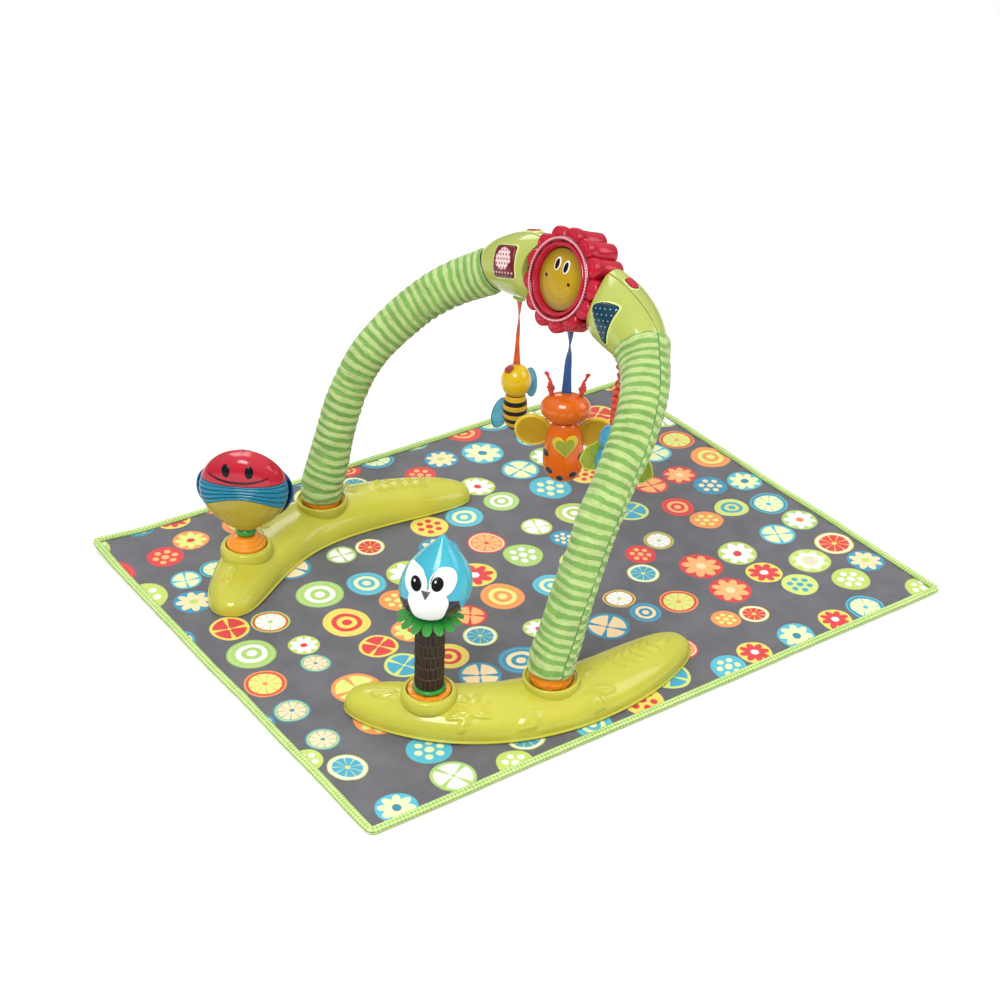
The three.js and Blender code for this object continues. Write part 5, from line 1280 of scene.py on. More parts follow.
def make_flower(context):
    settings = context.scene.gym_plastic
    red = plastic("petal_red", tuple(settings.petal), 0.18, 0.1, 0.25, 0.25)
    # painted shade: the band is the petal red darkened, so the gaps between the beads look deep
    dark = plastic("beaded_ring_painted_shade_red", shade(tuple(settings.petal), 0.4), 0.16, 0.1, 0.5, 0.5)
    # painted highlight: the beads are a pale pink that stands in for their glints on the red
    pink = plastic("bead_pink_painted_highlight", linear("e58d9b"), 0.2, 0.1, 0.5, 0.5)
    count = PETALS * 24
    angle = whole_turn(count)
    rim = petal_radius(angle)
    # the petals: from the back edge round the rim and over each petal's own dome to the ring
    rows = [around_flower(rim * 0.98, angle, -BEZEL_DEPTH), around_flower(rim * 0.998, angle, -9)]
    span = TAU / PETALS
    off = angle - span * np.round(angle / span)
    for share in np.concatenate([np.linspace(1, 0.9, 8), np.linspace(0.88, 0, 22)]):
        radius = RING_R - 3 + (rim - RING_R + 3) * share
        away = np.hypot(radius * np.sin(off), radius * np.cos(off) - PETAL_CENTRE) / PETAL_R
        dome = np.clip(1 - np.clip(away, 0, 1) ** 2, 0, None) ** 0.32
        valley = 1.2 * np.exp(-((np.abs(off) - span / 2) * radius / 1.5) ** 2)
        groove = 0.9 * np.exp(-(((away - 0.62) / 0.1) ** 2)) * (radius > 49)
        z = -5.4 + 5.2 * dome - valley * (share > 0.03) - groove
        z = np.where(radius < 47, np.minimum(z, -0.3), z)
        rows.append(around_flower(radius, angle, z))
    rows += [around_flower(RING_R - 3, angle, -3 + 0 * angle),
             around_flower(RING_R - 3, angle, -BEZEL_DEPTH + 0 * angle)]
    piece("petal_ring", np.stack(rows), FLOWER, red, "arch", ["petal_bezel"],
          ring=True, crease=55)
    # the beaded ring: a low band, and on it a string of beads whose radius is a half circle each
    band = rounded([(43.4, -3.4), (43.4, 0.8), (44.4, 1.5), (46.8, 1.5), (48.2, 0.4), (48.6, -1.4),
                    (48.6, -3.4), (43.4, -3.4)], 0.6)
    piece("ring_band", turned(band[:-1], 144), FLOWER, dark, "arch", ring=True, crease=60)
    beads, per_bead = 88, 10
    angle = whole_turn(beads * per_bead)
    along = np.mod(np.arange(beads * per_bead) / per_bead + 0.5 / per_bead, 1) * 2 - 1
    size = 1.4 * np.sqrt(np.maximum(1 - 0.99 * along**2, 0.02))
    rows = [around_flower(46.0 + size * math.cos(a), angle, 1.5 + size * math.sin(a)) for a in whole_turn(9)]
    piece("beaded_ring", np.stack(rows), FLOWER, pink, "arch", ring=True)
    profile = rounded([(LENS_R + 0.6, -13.6), (41.9, -13.6), (41.9, 0.6), (40.2, 2.1), (38.4, 2.1),
                       (36.8, -1.5), (LENS_R + 0.6, -6.5), (LENS_R + 0.6, -13.6)], 0.7)
    piece("lens_bezel", turned(profile[:-1], 128), FLOWER, red, "arch", ring=True,
          crease=60)
    # the drum: the petals' outline carried back, with a rolled rear edge and a groove round it
    angle = whole_turn(count)
    outline = petal_radius(angle) * DRUM_SHRINK
    door = rounded_square(62, 44, 5, 400)
    opening = reach_at(angle, door, np.arctan2(door[:, 0], door[:, 1]))
    rows = ((-14.3, 0.0), (-15.5, 0.0), (-17.0, -0.9), (-18.5, 0.0), (-44.5, 0.0), (-46.6, -0.5),
            (-47.7, -1.6), (-48.0, -3.0))
    made = [around_flower(outline + grow, angle, z) for z, grow in rows]
    for share in (0.3, 0.7, 1.0):
        radius = (outline - 3) + (opening - outline + 3) * share
        made.append(around_flower(radius, angle, -48))
    made.append(around_flower(opening, angle, -45.6))
    made.append(around_flower(outline - 2.6, angle, -45.6))
    made.append(around_flower(outline - 2.4, angle, -14.3))
    piece("fluted_drum", np.stack(made), FLOWER, red, "arch", ["drum_shell"],
          ring=True, crease=50)
    boss = pad(rounded_square(9, 15, 1.5, 48), -8, 0, 0.8)
    piece("middle_strap_boss", boss + (192, 0, STRAP_TOP + RUN_GAP + 8), GYM, red, "arch",
          crease=50)
    make_lens(tuple(settings.lens))


def lens_height(radius):
    """The lens bulges a little, like the cap of a sphere."""
    return -1.0 - 3.2 * (radius / LENS_R) ** 2


def make_lens(colour):
    paint = Paint("golden_lens")
    at = paint.places()
    away = paint.vector("LENGTH", paint.vector("SUBTRACT", at, tuple(FLOWER[:3, 3])), output="Value")
    grain = paint.noise(at, 0.05, 3.0)
    # painted shade: the face darkens to half its colour towards its rim, where the bezel rises round it
    tone = paint.mix((away + grain * 6.0).step(20.0, 40.0), shade(colour, 1.05), shade(colour, 0.5))
    finish = paint.finish(tone, grain * 0.08 + 0.16, None, coat=0.35, coat_rough=0.1, specular=0.3)
    v, a = unit_grid(40, 96)
    radius = LENS_R * (1 - v * 0.98)
    z = lens_height(radius)
    # a smile pressed into the lens: two grooves that follow an arc below the middle
    angle = a * TAU
    low = np.cos(angle - math.pi - 0.08)
    for place, deep in ((21.5, 0.9), (17.5, 0.7)):
        z = z - deep * np.exp(-((radius - place) / 0.9) ** 2) * eased(low, 0.1, 0.45)
    face = around_flower(radius, angle, z)
    back = [around_flower(np.full(96, r), a[0] * TAU, h) for r, h in
            ((8, -12.6), (LENS_R - 0.6, -12.6), (LENS_R, -12), (LENS_R, -4.4))]
    piece("smiling_lens", np.concatenate([np.stack(back), face]), FLOWER, finish, "arch",
          ["face_lens"])
    white = plastic("eye_white", linear("f0eee8"), 0.2, 0.03, 0.3)
    black = black_gloss("eye_black")
    t = whole_turn(48)
    marks = [("left_cheek", black, -22.3, -2.4, 2.2, 1.9, 0.0, 0.4),
             ("right_cheek", black, 16.4, -0.6, 2.2, 1.9, 0.0, 0.4)]
    for name, x, y in (("left", -9.2, 15.4), ("right", 5.6, 16.0)):
        marks += [(f"{name}_eye_white", white, x, y, 4.8, 7.9, 0.0, 0.5),
                  (f"{name}_eye_pupil", black, x, y - 0.3, 3.2, 6.2, 0.35, 0.9)]
    for name, finish, x, y, rx, ry, low, high in marks:
        outline = np.stack([rx * np.cos(t), ry * np.sin(t)], axis=1)
        points = pad(outline, low - 1.2, high, 0.35, 4) + (x, y, 0)
        points[..., 2] += lens_height(np.hypot(points[..., 0], points[..., 1]))
        piece(f"flower_{name}", points, FLOWER, finish, "arch")


# Ribbons and hanging toys


def ribbon(name, x, y, half, colour_finish, body, node, waist, crumple=0.0):
    """A woven ribbon: two edges that turn about an upright line while they go down it, drawn in
    at the middle; a crumpled one is thrown from side to side in folds."""
    v, u = unit_grid(180, 15, wrap=False)
    turn = math.pi / 2 + (TOY_TURN - math.pi / 2) * eased(v, 0.0, 0.7)
    top = STRAP_TOP - 0.8  # room for its corners under the boss when it swings
    z = top + (STRAP_BOTTOM - top) * v
    width = half * (1 - waist * np.sin(v * math.pi)) * (u * 2 - 1)
    fold = crumple * np.sin(v * 58 + 1.2 * np.sin(u * 5)) * np.sin(v * math.pi) ** 0.5
    cup = 0.35 * np.cos((u * 2 - 1) * 3) + fold
    points = stacked(
        x + width * np.cos(turn) - cup * np.sin(turn), y + width * np.sin(turn) + cup * np.cos(turn), z)
    made = piece(f"{name}_ribbon", points, GYM, colour_finish, body, [node], wrap=False,
                 poles=False, wall=0.9)


def wing_pad(outline, thick, fill):
    """A stuffed wing over its outline: thickest inside and drawn to a thin seam at the edge, as
    the square root of the distance from the edge."""
    outline = np.asarray(outline, float)
    centre = outline.mean(axis=0)
    rows = []
    for way, shares in ((-1, np.linspace(0.03, 1, 14)), (1, np.linspace(1, 0.03, 14)[1:])):
        for s in shares:
            swell = math.sqrt(max(1 - s**2.4, 0)) * (0.45 + 0.55 * fill)
            flat = centre + (outline - centre) * s
            rows.append(stacked(flat[:, 0], way * thick / 2 * swell + 0 * flat[:, 0], flat[:, 1]))
    rows = np.stack(rows)
    pucker = 0.28 * ripple(rows[..., 0] / 3, rows[..., 2] / 3, 41)
    rows[..., 1] += pucker * np.sign(rows[..., 1]) * 0.6
    return rows


def leaned(points, x, y, z, lean):
    """The points turned about Y by the lean and moved to their place."""
    c, s = math.cos(lean), math.sin(lean)
    return stacked(points[..., 0] * c + points[..., 2] * s + x, points[..., 1] + y,
                   -points[..., 0] * s + points[..., 2] * c + z)


def wing_outline(width, height, notch):
    t = whole_turn(72)
    dent = 1 - notch * np.clip(np.cos(t * 2 + math.pi), 0, None) ** 4
    return np.stack([width / 2 * np.cos(t) * dent, height / 2 * np.sin(t)], axis=1)


def spun(rows, columns=64, flat=1.0):
    """A body of rings from rows of a height and a radius, with smooth curves between them."""
    rows = evenly(smooth_line(rows, 400), 90)
    angle = whole_turn(columns)[None, :]
    return stacked(rows[:, 1:2] * np.cos(angle), flat * rows[:, 1:2] * np.sin(angle), rows[:, :1])


def stuffed_wing(name, outline, thick, fill, place, matrix, finish, edge, body, node, cord):
    """A stuffed cloth wing with a piping round its seam, at a place: x, y, z, its lean about Y and
    its turn about Z."""
    x, y, z, lean, turn = place
    at = matrix @ shift(x, y, z) @ turn_z(turn)
    made = piece(f"{name}_cloth_wing", leaned(wing_pad(outline, thick, fill), 0, 0, 0, lean), at,
                 finish, body, [node])
    loop = closed(stacked(outline[:, 0], 0 * outline[:, 0], outline[:, 1]) * 0.985)
    cordage = leaned(rope(loop, cord, 8, up=(0, 1, 0)), 0, 0, 0, lean)
    piece(f"{name}_wing_piping", cordage[:-1], at, edge, body, ring=True)


def make_bee(context):
    toys = context.scene.gym_toys
    ribbon("bee", 189, 90, 4.5, satin("orange_ribbon_weave", linear("d9501a")), "bee_ribbon",
           "bee_strap", waist=0.5)
    matrix = hanging_frame(189, 90)
    yellow = plastic("bee_yellow", tuple(toys.bee), 0.14, 0.08, 0.4)
    piece("bee_round_head", ball((18.3, 18.3, 21.1), (0, 0, -21.3)), matrix, yellow, "bee",
          ["bee_head"])
    top = -38.6
    paint = Paint("bee_stripes")
    at = paint.places()
    _, _, z = paint.parts(at)
    low = float(matrix[2, 3]) + top
    wave = ((z - (low - 6.6)) * (TAU / 11.6)).sine()
    nap = paint.noise(at, 1.0, 3.0)
    tone = paint.mix((wave + (nap - 0.5) * 0.3).step(-0.1, 0.1), linear("121010"), linear("cfa51c"))
    stripes = paint.finish(tone, nap * 0.2 + 0.45, paint.bump(nap, 0.3), sheen=0.1, specular=0.25)
    rows = [(top + 1.5, 8), (top, 10.6), (top - 5, 12.8), (top - 15, 14.6), (top - 27, 14.4),
            (top - 37, 12.1), (top - 45, 7.8), (top - 49, 3.6), (top - 50, 0.8)]
    points = spun(rows)
    bulge = 0.5 * np.sin((points[..., 2] - top + 4) * TAU / 5.8)
    points[..., :2] *= (1 + 0.035 * bulge)[..., None]
    made = piece("bee_striped_body", points, matrix, stripes, "bee", ["bee_body"])
    blue = soft_cloth("wing_blue", linear("3b93b4"), linear("62b4cb"), 0.2, 0.08)
    edge = satin("wing_piping", linear("2a7fa3"))
    for name, place in (("bee_left", (-17.5, 9, top - 32, 0.25, 0.15)),
                        ("bee_right", (17.5, 12, top + 10, -0.25, 0.9))):
        stuffed_wing(name, wing_outline(20, 42, 0.14), 4.4, toys.wing_fill, place, matrix, blue, edge,
                     "bee", f"{name}_wing", 0.8)
    knot = smooth_line([(-4, -8, 1.5), (-8, -10, 0), (-12, -8, -3), (-9, -6, -1), (-5, -9, 1.4),
                        (-9, -12, -3), (-13, -9, -6)], 80)
    piece("bee_red_knot", rope(knot, 2.0 * np.sin(np.linspace(0.25, 2.9, 80)) ** 0.5, 10), matrix,
          satin("knot_red", linear("a02440")), "bee")


FLY_ROWS = [(2, 9), (0, 12), (-4.7, 15.4), (-15.8, 20.2), (-31.6, 23), (-49, 24), (-63.2, 22.1),
            (-72.7, 16.8), (-77.6, 9), (-79, 1.5)]


def make_butterfly(context):
    toys = context.scene.gym_toys
    ribbon("butterfly", 192, 0, 6, satin("blue_ribbon_weave", linear("124a8c")), "butterfly_ribbon",
           "butterfly_strap", waist=0.3)
    matrix = hanging_frame(192, 0)
    colour = tuple(toys.butterfly)
    orange = plastic("butterfly_orange", colour, 0.13, 0.08, 0.45)
    v, a = unit_grid(44, 72)
    lat = (v * 0.988 + 0.006 - 0.5) * math.pi
    wide = np.cos(lat) ** 0.94
    piece("butterfly_wide_head", stacked(29.5 * wide * np.cos(a * TAU), 22 * wide * np.sin(a * TAU),
          -19.1 + 18.8 * np.sin(lat)), matrix, orange, "butterfly", ["butterfly_head"])
    top = -36

    def spots(paint, at):
        return paint_spots(paint, at, matrix, [(-3, -103, 4.3), (12, -98, 4.2), (-16, -95, 4.2),
                                               (21, -76, 4.0), (-21, -74, 4.0)])

    belly = moulded("butterfly_belly", colour, linear("0f2f42"), spots, 0.14)
    rows = [(top + z, radius) for z, radius in FLY_ROWS]
    piece("butterfly_round_body", spun(rows, 72, 0.92), matrix, belly, "butterfly",
          ["butterfly_body"])
    wing_finish = plastic("butterfly_wing_mustard", linear("b8901c"), 0.3, 0.14, 0.2)
    rim_finish = plastic("butterfly_wing_rim", linear("d8b92c"), 0.25, 0.05, 0.3)
    for name, way in (("left", -1), ("right", 1)):
        outline = wing_outline(42, 38, 0.0)
        disc = pad(outline, -2.4, 2.4, 1.6, 5, -0.8)
        disc = stacked(disc[..., 0], disc[..., 2], disc[..., 1])
        place = (way * 37, 11, -56, -way * 0.3)
        piece(f"butterfly_{name}_round_wing", leaned(disc, *place), matrix, wing_finish, "butterfly",
              [f"butterfly_{name}_wing"])
        loop = closed(stacked(outline[:, 0], 0 * outline[:, 0], outline[:, 1]) * 0.955)
        piece(f"butterfly_{name}_wing_rim", leaned(rope(loop, 2.3, 12, up=(0, 1, 0), flat=1.2), *place)
              [:-1], matrix, rim_finish, "butterfly", ring=True)
    red = satin("antenna_red", linear("c42b1c"))
    for name, way in (("left", -1), ("right", 1)):
        share = np.linspace(0, 1, 110)
        twist = share * 9 * way
        swell = np.interp(share, [0, 0.1, 0.34, 0.56, 0.64, 0.7, 0.76, 0.84, 0.93, 1],
                          [2.2, 3.6, 4.7, 3.4, 1.4, 2.3, 1.3, 2.8, 3.1, 0.6])
        angle = whole_turn(28)[None, :]
        fray = 0.13 + 0.25 * eased(share, 0.85, 0.95)[:, None]
        radius = swell[:, None] * (0.8 + 0.2 * np.cos(2 * (angle - twist[:, None])) +
                                   fray * np.cos(5 * angle + 3 * twist[:, None]))
        lean = way * (17 + 4 * share) + way * 2.2 * np.clip(share - 0.65, 0, 1) ** 0.8 * 4
        points = stacked(lean[:, None] + radius * np.cos(angle), 0.75 * radius * np.sin(angle),
                         (-4.2 + share * 31.5)[:, None] + 0 * angle)
        made = piece(f"butterfly_{name}_twist", points, matrix, red, "butterfly",
                     [f"butterfly_{name}_antenna"])
    heart = heart_outline(30)
    lean = math.cos(0.12), -math.sin(0.12)
    heart = np.stack([heart[:, 0] * lean[0] + heart[:, 1] * lean[1],
                      heart[:, 1] * lean[0] - heart[:, 0] * lean[1]], axis=1)
    rim = plastic("heart_rim", linear("c9b42c"), 0.3, 0.05, 0.2)
    olive = plastic("heart_olive", linear("8c9424"), 0.3, 0.1, 0.2)
    piece("butterfly_heart_rim", make_heart_points(heart, 2, -61, 2.2, 1.0), matrix, rim, "butterfly",
          ["butterfly_heart"])
    piece("butterfly_heart_face", make_heart_points(heart * 0.76, 2, -61, 2.8, 0.6), matrix, olive,
          "butterfly")


def paint_spots(paint, at, world, spots):
    """Round spots on the side that looks towards -Y: discs about lines square to that side."""
    u, w, z = paint.local(at, world)
    total = None
    for x0, z0, radius in spots:
        du, dz = u - float(x0), z - float(z0)
        away = paint.number("POWER", du * du + dz * dz, 0.5)
        disc = away.step(radius + 0.35, radius - 0.35)
        total = disc if total is None else total.most(disc)
    return total * w.step(0.5, -0.5)


def body_depth(z, top):
    """How far the butterfly's body reaches towards -Y at a height."""
    rows = smooth_line(FLY_ROWS, 300)[::-1]
    return 0.92 * np.interp(z - top, rows[:, 0], rows[:, 1])


def make_heart_points(outline, x, z, proud, soften):
    """A heart laid on the belly: its outline in X and Z, pushed to the body's own depth."""
    flat = pad(outline, 0, 3.0, soften, 5)
    px, pz = flat[..., 0] + x, flat[..., 1] + z
    deep = body_depth(pz, -36)
    face = deep * np.sqrt(np.clip(1 - (px / (deep / 0.92 + 0.01)) ** 2, 0.05, None))
    return stacked(px, -(face + proud - 3.0 + flat[..., 2]), pz)


def make_beetle(context):
    toys = context.scene.gym_toys
    ribbon("beetle", 189, -90, 6, satin("red_ribbon_weave", linear("c9341c")), "beetle_ribbon",
           "beetle_strap", crumple=1.9, waist=0.1)
    matrix = hanging_frame(189, -90)
    blue = plastic("beetle_turquoise", linear("3a93b4"), 0.14, 0.06, 0.4)
    piece("beetle_round_head", ball((17.5, 17.5, 17.3), (0, 0, -17.5)), matrix, blue, "beetle",
          ["beetle_head"])
    piece("beetle_round_body", ball((20, 18, 22.8), (0, 0, -47)), matrix, blue, "beetle",
          ["beetle_body"])
    green = soft_cloth("beetle_wing_green", linear("7d9527"), linear("96a834"), 0.2, 0.08)
    edge = satin("beetle_wing_piping", linear("bcc434"))
    t = whole_turn(96)
    for name, half, place in (("left", (13.5, 20), (-21, 4, -43, 0.4, 0.0)),
                              ("right", (15, 22), (29, 4, -55, -0.55, 0.0))):
        wavy = 1 + 0.035 * np.sin(7 * t + half[0])
        outline = np.stack([half[0] * np.cos(t) * (1 - 0.18 * np.sin(t)) * wavy,
                            half[1] * np.sin(t) * wavy], axis=1) * 0.97
        stuffed_wing(f"beetle_{name}", outline, 4.4, toys.wing_fill, place, matrix, green, edge,
                     "beetle", f"beetle_{name}_wing", 1.1)


# Standing toys


BIRD_ROWS = [(0, 0.42), (0.05, 0.68), (0.15, 0.9), (0.31, 1), (0.46, 0.95), (0.6, 0.79), (0.74, 0.54),
             (0.88, 0.24), (0.985, 0.04)]


BIRD_FOOT, BIRD_HEIGHT, BIRD_RADIUS, BIRD_LEAN = 147.5, 94, 37.5, 12.5


def bird_ring(share):
    """The radius of the bird's drop-shaped head at a share of its height, and how far the ring's
    middle leans over towards the tip."""
    rows = smooth_line(BIRD_ROWS, 300)
    return BIRD_RADIUS * np.interp(share, rows[:, 0], rows[:, 1]), BIRD_LEAN * share**0.75


def bird_skin(share, angle):
    radius, lean = bird_ring(share)
    return stacked(lean + radius * np.cos(angle), radius * np.sin(angle), BIRD_FOOT + BIRD_HEIGHT * share)


def bird_front(x, z, grow):
    """The bird's front skin under a place in X and Z."""
    radius, lean = bird_ring(np.clip((z - BIRD_FOOT) / BIRD_HEIGHT, 0.0, 0.985))
    return -np.sqrt(np.clip((radius + grow) ** 2 - (x - lean) ** 2, 1.0, None))


def make_bird(context):
    matrix = toy_frame(-1, BIRD_TURN)
    orange = plastic("plug_orange", linear("ec9224"), 0.25, 0.08)
    green = plastic("leaf_green", linear("2f8f34"), 0.22, 0.1, 0.4)
    # the plug: eight raised wedges round the foot of the trunk
    v, a = unit_grid(70, 160)
    at = [0, 0.05, 0.1, 0.5, 0.54, 0.64, 0.7, 0.78, 1]
    height = np.interp(v, at, [17.3, 17.3, 19.3, 43.6, 44.6, 45.6, 46, 46.2, 46.2])
    radius = np.interp(v, at, [2, 20, 22, 22, 23, 23, 22.4, 20.5, 1])
    wedge = np.abs(np.sin(4 * a * TAU)) ** 0.35
    height = height + eased(v, 0.6, 0.7) * 1.7 * wedge * eased(radius, 14, 17)
    piece("bird_grooved_plug", stacked(radius * np.cos(a * TAU), radius * np.sin(a * TAU), height),
          matrix, orange, "mat_and_bases", ["bird_plug"], crease=50)
    ring = rounded([(2, 48.3), (17, 48.3), (18.2, 50.5), (17, 53.2), (2, 53.2)], 1.2, 6)
    piece("trunk_foot_ring", turned(ring, 72), matrix, green, "mat_and_bases", ["trunk_ring"])
    make_trunk(matrix)
    make_collar(matrix, green)
    make_bird_head(matrix, context.scene.gym_toys)


def make_trunk(matrix):
    """The trunk: six courses of sixteen bricks, with fine grooves between them and bark on each."""
    paint = Paint("trunk_bark")
    at = paint.places()
    around, run = paint.map()
    streak = paint.noise(paint.joined(around * 1.0, run * 0.1, 0.0), 0.8, 4.0, 0.6)
    rough = paint.noise(at, 0.35, 4.0, 0.7)
    course, bricks = 87.5 / 6, 16
    row = paint.number("FLOOR", run / course)
    brick = around / (TAU * 16 / bricks) + paint.number("MODULO", row, 2.0) * 0.5
    edge_u = paint.number("PINGPONG", brick, 0.5)
    edge_v = paint.number("PINGPONG", run / course, 0.5)
    joint = edge_u.step(0.1, 0.03).most(edge_v.step(0.05, 0.02))
    tone = paint.mix((streak * 0.7 + rough * 0.3).step(0.35, 0.65), linear("1c120c"), linear("342416"))
    tone = paint.mix(joint * 0.6, tone, linear("5a4330"))
    bark = paint.finish(tone, streak * 0.3 + 0.25, paint.bump(streak + rough * 0.6, 0.7), specular=0.35)
    v, a = unit_grid(280, 256)
    z = 53.5 + 87.5 * v
    place = (z - 53.5) / course
    number = np.floor(np.clip(place, 0, 5.999))
    part_v = np.minimum(np.mod(place, 1), 1 - np.mod(place, 1)) * course
    part_u = np.mod(a * bricks + 0.5 * np.mod(number, 2), 1)
    part_u = np.minimum(part_u, 1 - part_u) * TAU * 16 / bricks
    groove = 1 - np.minimum(eased(part_v, 0.1, 0.9), eased(part_u, 0.1, 0.8))
    tilt = 0.4 * (np.mod(place, 1) - 0.5)
    bumps = 0.16 * np.sin(a * TAU * 52 + 2 * np.sin(z / 5)) + 0.3 * ripple(40 * a, z / 5, 51)
    radius = 15.7 - 0.7 * groove + tilt + bumps * (1 - groove)
    body = stacked(radius * np.cos(a * TAU), radius * np.sin(a * TAU), z)
    piece("bird_brick_trunk", body, matrix, bark, "mat_and_bases", ["bird_trunk"])
    pin = rounded([(0.4, 140.6), (4, 140.6), (4, 162), (3, 163.8), (0.4, 163.8)], 0.6)
    piece("bird_spindle", turned(pin, 32), matrix, bark, "mat_and_bases")


def make_collar(matrix, green):
    """The collar: round-ended leaves that spring from one ring and droop, each hollowed like a
    spoon and ribbed down its middle."""
    leaves = 15
    v, a = unit_grid(48, leaves * 30)
    part = np.mod(a * leaves, 1) - 0.5
    tip = np.clip(1 - np.abs(part * 2) ** 2.6, 0, 1) ** 0.55
    reach = 21.5 + 13.7 * tip
    radius = 4.3 + (reach - 4.3) * v
    out = np.clip((radius - 16) / 19.5, 0, 1)
    rib = 0.9 * np.exp(-((part / 0.07) ** 2)) * eased(out, 0.02, 0.2)
    cup = 1.9 * (1 - np.abs(part * 2) ** 2) * eased(out, 0.0, 0.3) * (1 - 0.6 * out)
    top = np.minimum(146.0 - 8.4 * out**1.4 + cup - 0.6 * rib, 147)
    thick = 1.0 + 4.2 * (1 - eased(radius, 12, 19))
    low = np.maximum(top - thick, np.where(radius < 17, 141.4, 0))
    angle = a * TAU
    upper = stacked(radius * np.cos(angle), radius * np.sin(angle), top)
    lower = stacked(radius * np.cos(angle), radius * np.sin(angle), low)
    points = np.concatenate([upper, lower[::-1]])
    piece("palm_collar", points, matrix, green, "mat_and_bases", ["leaf_collar"],
          ring=True, crease=60)


def mask_outline():
    """The outline of the white mask from its middle, as an angle and a reach: the far side of
    two round eye discs and a round cheek, drawn in beside the chin, with a narrow wedge of the
    head's own colour that runs down between the eyes."""
    angle = whole_turn(220)
    reach = np.zeros(220)
    for x, z, radius in ((-13.6, 11, 13.7), (13.6, 14.5, 13.7), (0, -12, 22.6)):
        along = x * np.cos(angle) + z * np.sin(angle)
        root = along**2 - (x * x + z * z - radius**2)
        reach = np.maximum(reach, np.where(root > 0, along + np.sqrt(np.maximum(root, 0)), 0))
    down = np.abs(np.mod(angle + math.pi / 2 + math.pi, TAU) - math.pi)
    reach = reach * (1 - 0.12 * np.exp(-(((down - 0.85) / 0.38) ** 2)))
    up = np.abs(np.mod(angle - math.pi / 2 + math.pi, TAU) - math.pi)
    slope = math.tan(0.32)
    wedge = 6.5 * slope / np.maximum(np.cos(up) * slope - np.sin(up), 1e-3)
    reach = np.where(up < 0.31, np.minimum(reach, wedge), reach)
    return angle, np.convolve(np.pad(reach, 2, mode="wrap"), np.ones(5) / 5, mode="valid")


def make_bird_head(matrix, toys):
    middle_x, middle_z = 4.5, 187.0

    # dark patches low on both cheeks, printed on the skin
    def patches(paint, at):
        u, w, z = paint.local(at, matrix)
        left = (z + (u + 4.0).size() * 0.5).step(184.5, 183.5) * (u + 33.0).step(0.0, 1.0)
        right = (z + (u - 12.0).size() * 0.35).step(187.5, 186.5) * (35.5 - u).step(0.0, 1.0)
        side = u.step(4.0, 5.0)
        low = left * (1.0 - side) + right * side
        return low * w.step(-3.0, -4.0) * z.step(150.0, 151.0)

    skin = moulded("bird_turquoise", tuple(toys.bird), linear("150f2c"), patches, 0.14)
    v, a = unit_grid(110, 110)
    points = bird_skin(0.002 + v * 0.983, a * TAU)
    piece("bird_drop_head", points, matrix, skin, "bird", ["bird_head_shell"])
    white = plastic("bird_face_white", linear("e6e6e2"), 0.16, 0.03, 0.3)
    angle, reach = mask_outline()
    rows = []
    levels = [(1.0, -0.6), (1.0, 0.7), (0.993, 1.25), (0.98, 1.55)]
    for scale, grow in levels + [(s, 1.6) for s in np.linspace(0.95, 0.03, 30)]:
        x = middle_x + scale * reach * np.cos(angle)
        z = np.maximum(middle_z + scale * reach * np.sin(angle), 150.6)
        rows.append(stacked(x, bird_front(x, z, grow), z))
    piece("bird_white_mask", np.stack(rows), matrix, white, "bird", ["bird_face_shell"])
    black = black_gloss("bird_eye_black")
    turn = whole_turn(48)

    def on_face(name, x0, z0, shape, proud, finish, soften=0.6):
        """A low plate laid on the mask: its outline round a place, pushed out from the skin."""
        plate = pad(shape, -1.0, proud, soften, 5)
        x, z = x0 + plate[..., 0], z0 + plate[..., 1]
        piece(name, stacked(x, bird_front(x, z, 1.6) - plate[..., 2], z), matrix, finish, "bird")

    circle = lambda r, s=1.0: np.stack([r * np.cos(turn), s * r * np.sin(turn)], axis=1)
    for name, x0, eye_x, eye_z in (("left", -9.1, -8.6, 197.8), ("right", 18.1, 13.8, 201.2)):
        loop = circle(12.3)
        x, z = x0 + loop[:, 0], eye_z + 0.3 + loop[:, 1]
        ring = closed(np.stack([x, bird_front(x, z, 1.5), z], axis=1))
        piece(f"bird_{name}_eye_rim", rope(ring, 0.75, 8, up=(0, 1, 0))[:-1], matrix, white, "bird",
              ring=True)
        on_face(f"bird_{name}_eye", eye_x, eye_z, circle(6.15, 1.06), 1.6, black, 1.2)
        on_face(f"bird_{name}_eye_light", eye_x - 1.8, eye_z + 2.8, circle(1.1), 2.0, white,
                0.3)
    share = np.linspace(0, 1, 20)[:, None]
    corners = np.array([(-4.6, 3.6), (4.6, 3.6), (0.4, -4.4), (-0.4, -4.4), (-4.6, 3.6)])
    beak = np.vstack([a + (b - a) * share[:-1] for a, b in zip(corners[:-1], corners[1:])])
    on_face("bird_beak_tip", 2.8, 190.0, beak, 1.9, plastic("bird_beak", linear("4d4c54"), 0.25, 0.1),
            1.0)


SPINNER_ROWS = [(0, 0.26), (0.05, 0.42), (0.15, 0.68), (0.3, 0.9), (0.48, 1), (0.64, 0.97),
                (0.78, 0.84), (0.89, 0.63), (0.97, 0.34), (1, 0.03)]
BACK_ROWS = [(0, 0.22), (0.05, 0.4), (0.13, 0.68), (0.26, 0.96), (0.44, 1.1), (0.6, 1.07),
             (0.73, 0.9), (0.83, 0.66), (0.91, 0.42), (0.97, 0.24), (1, 0.06)]
SPINNER_FOOT, SPINNER_HEIGHT, SPINNER_HALF, SPINNER_POWER = 71.5, 100, 51.5, 0.9


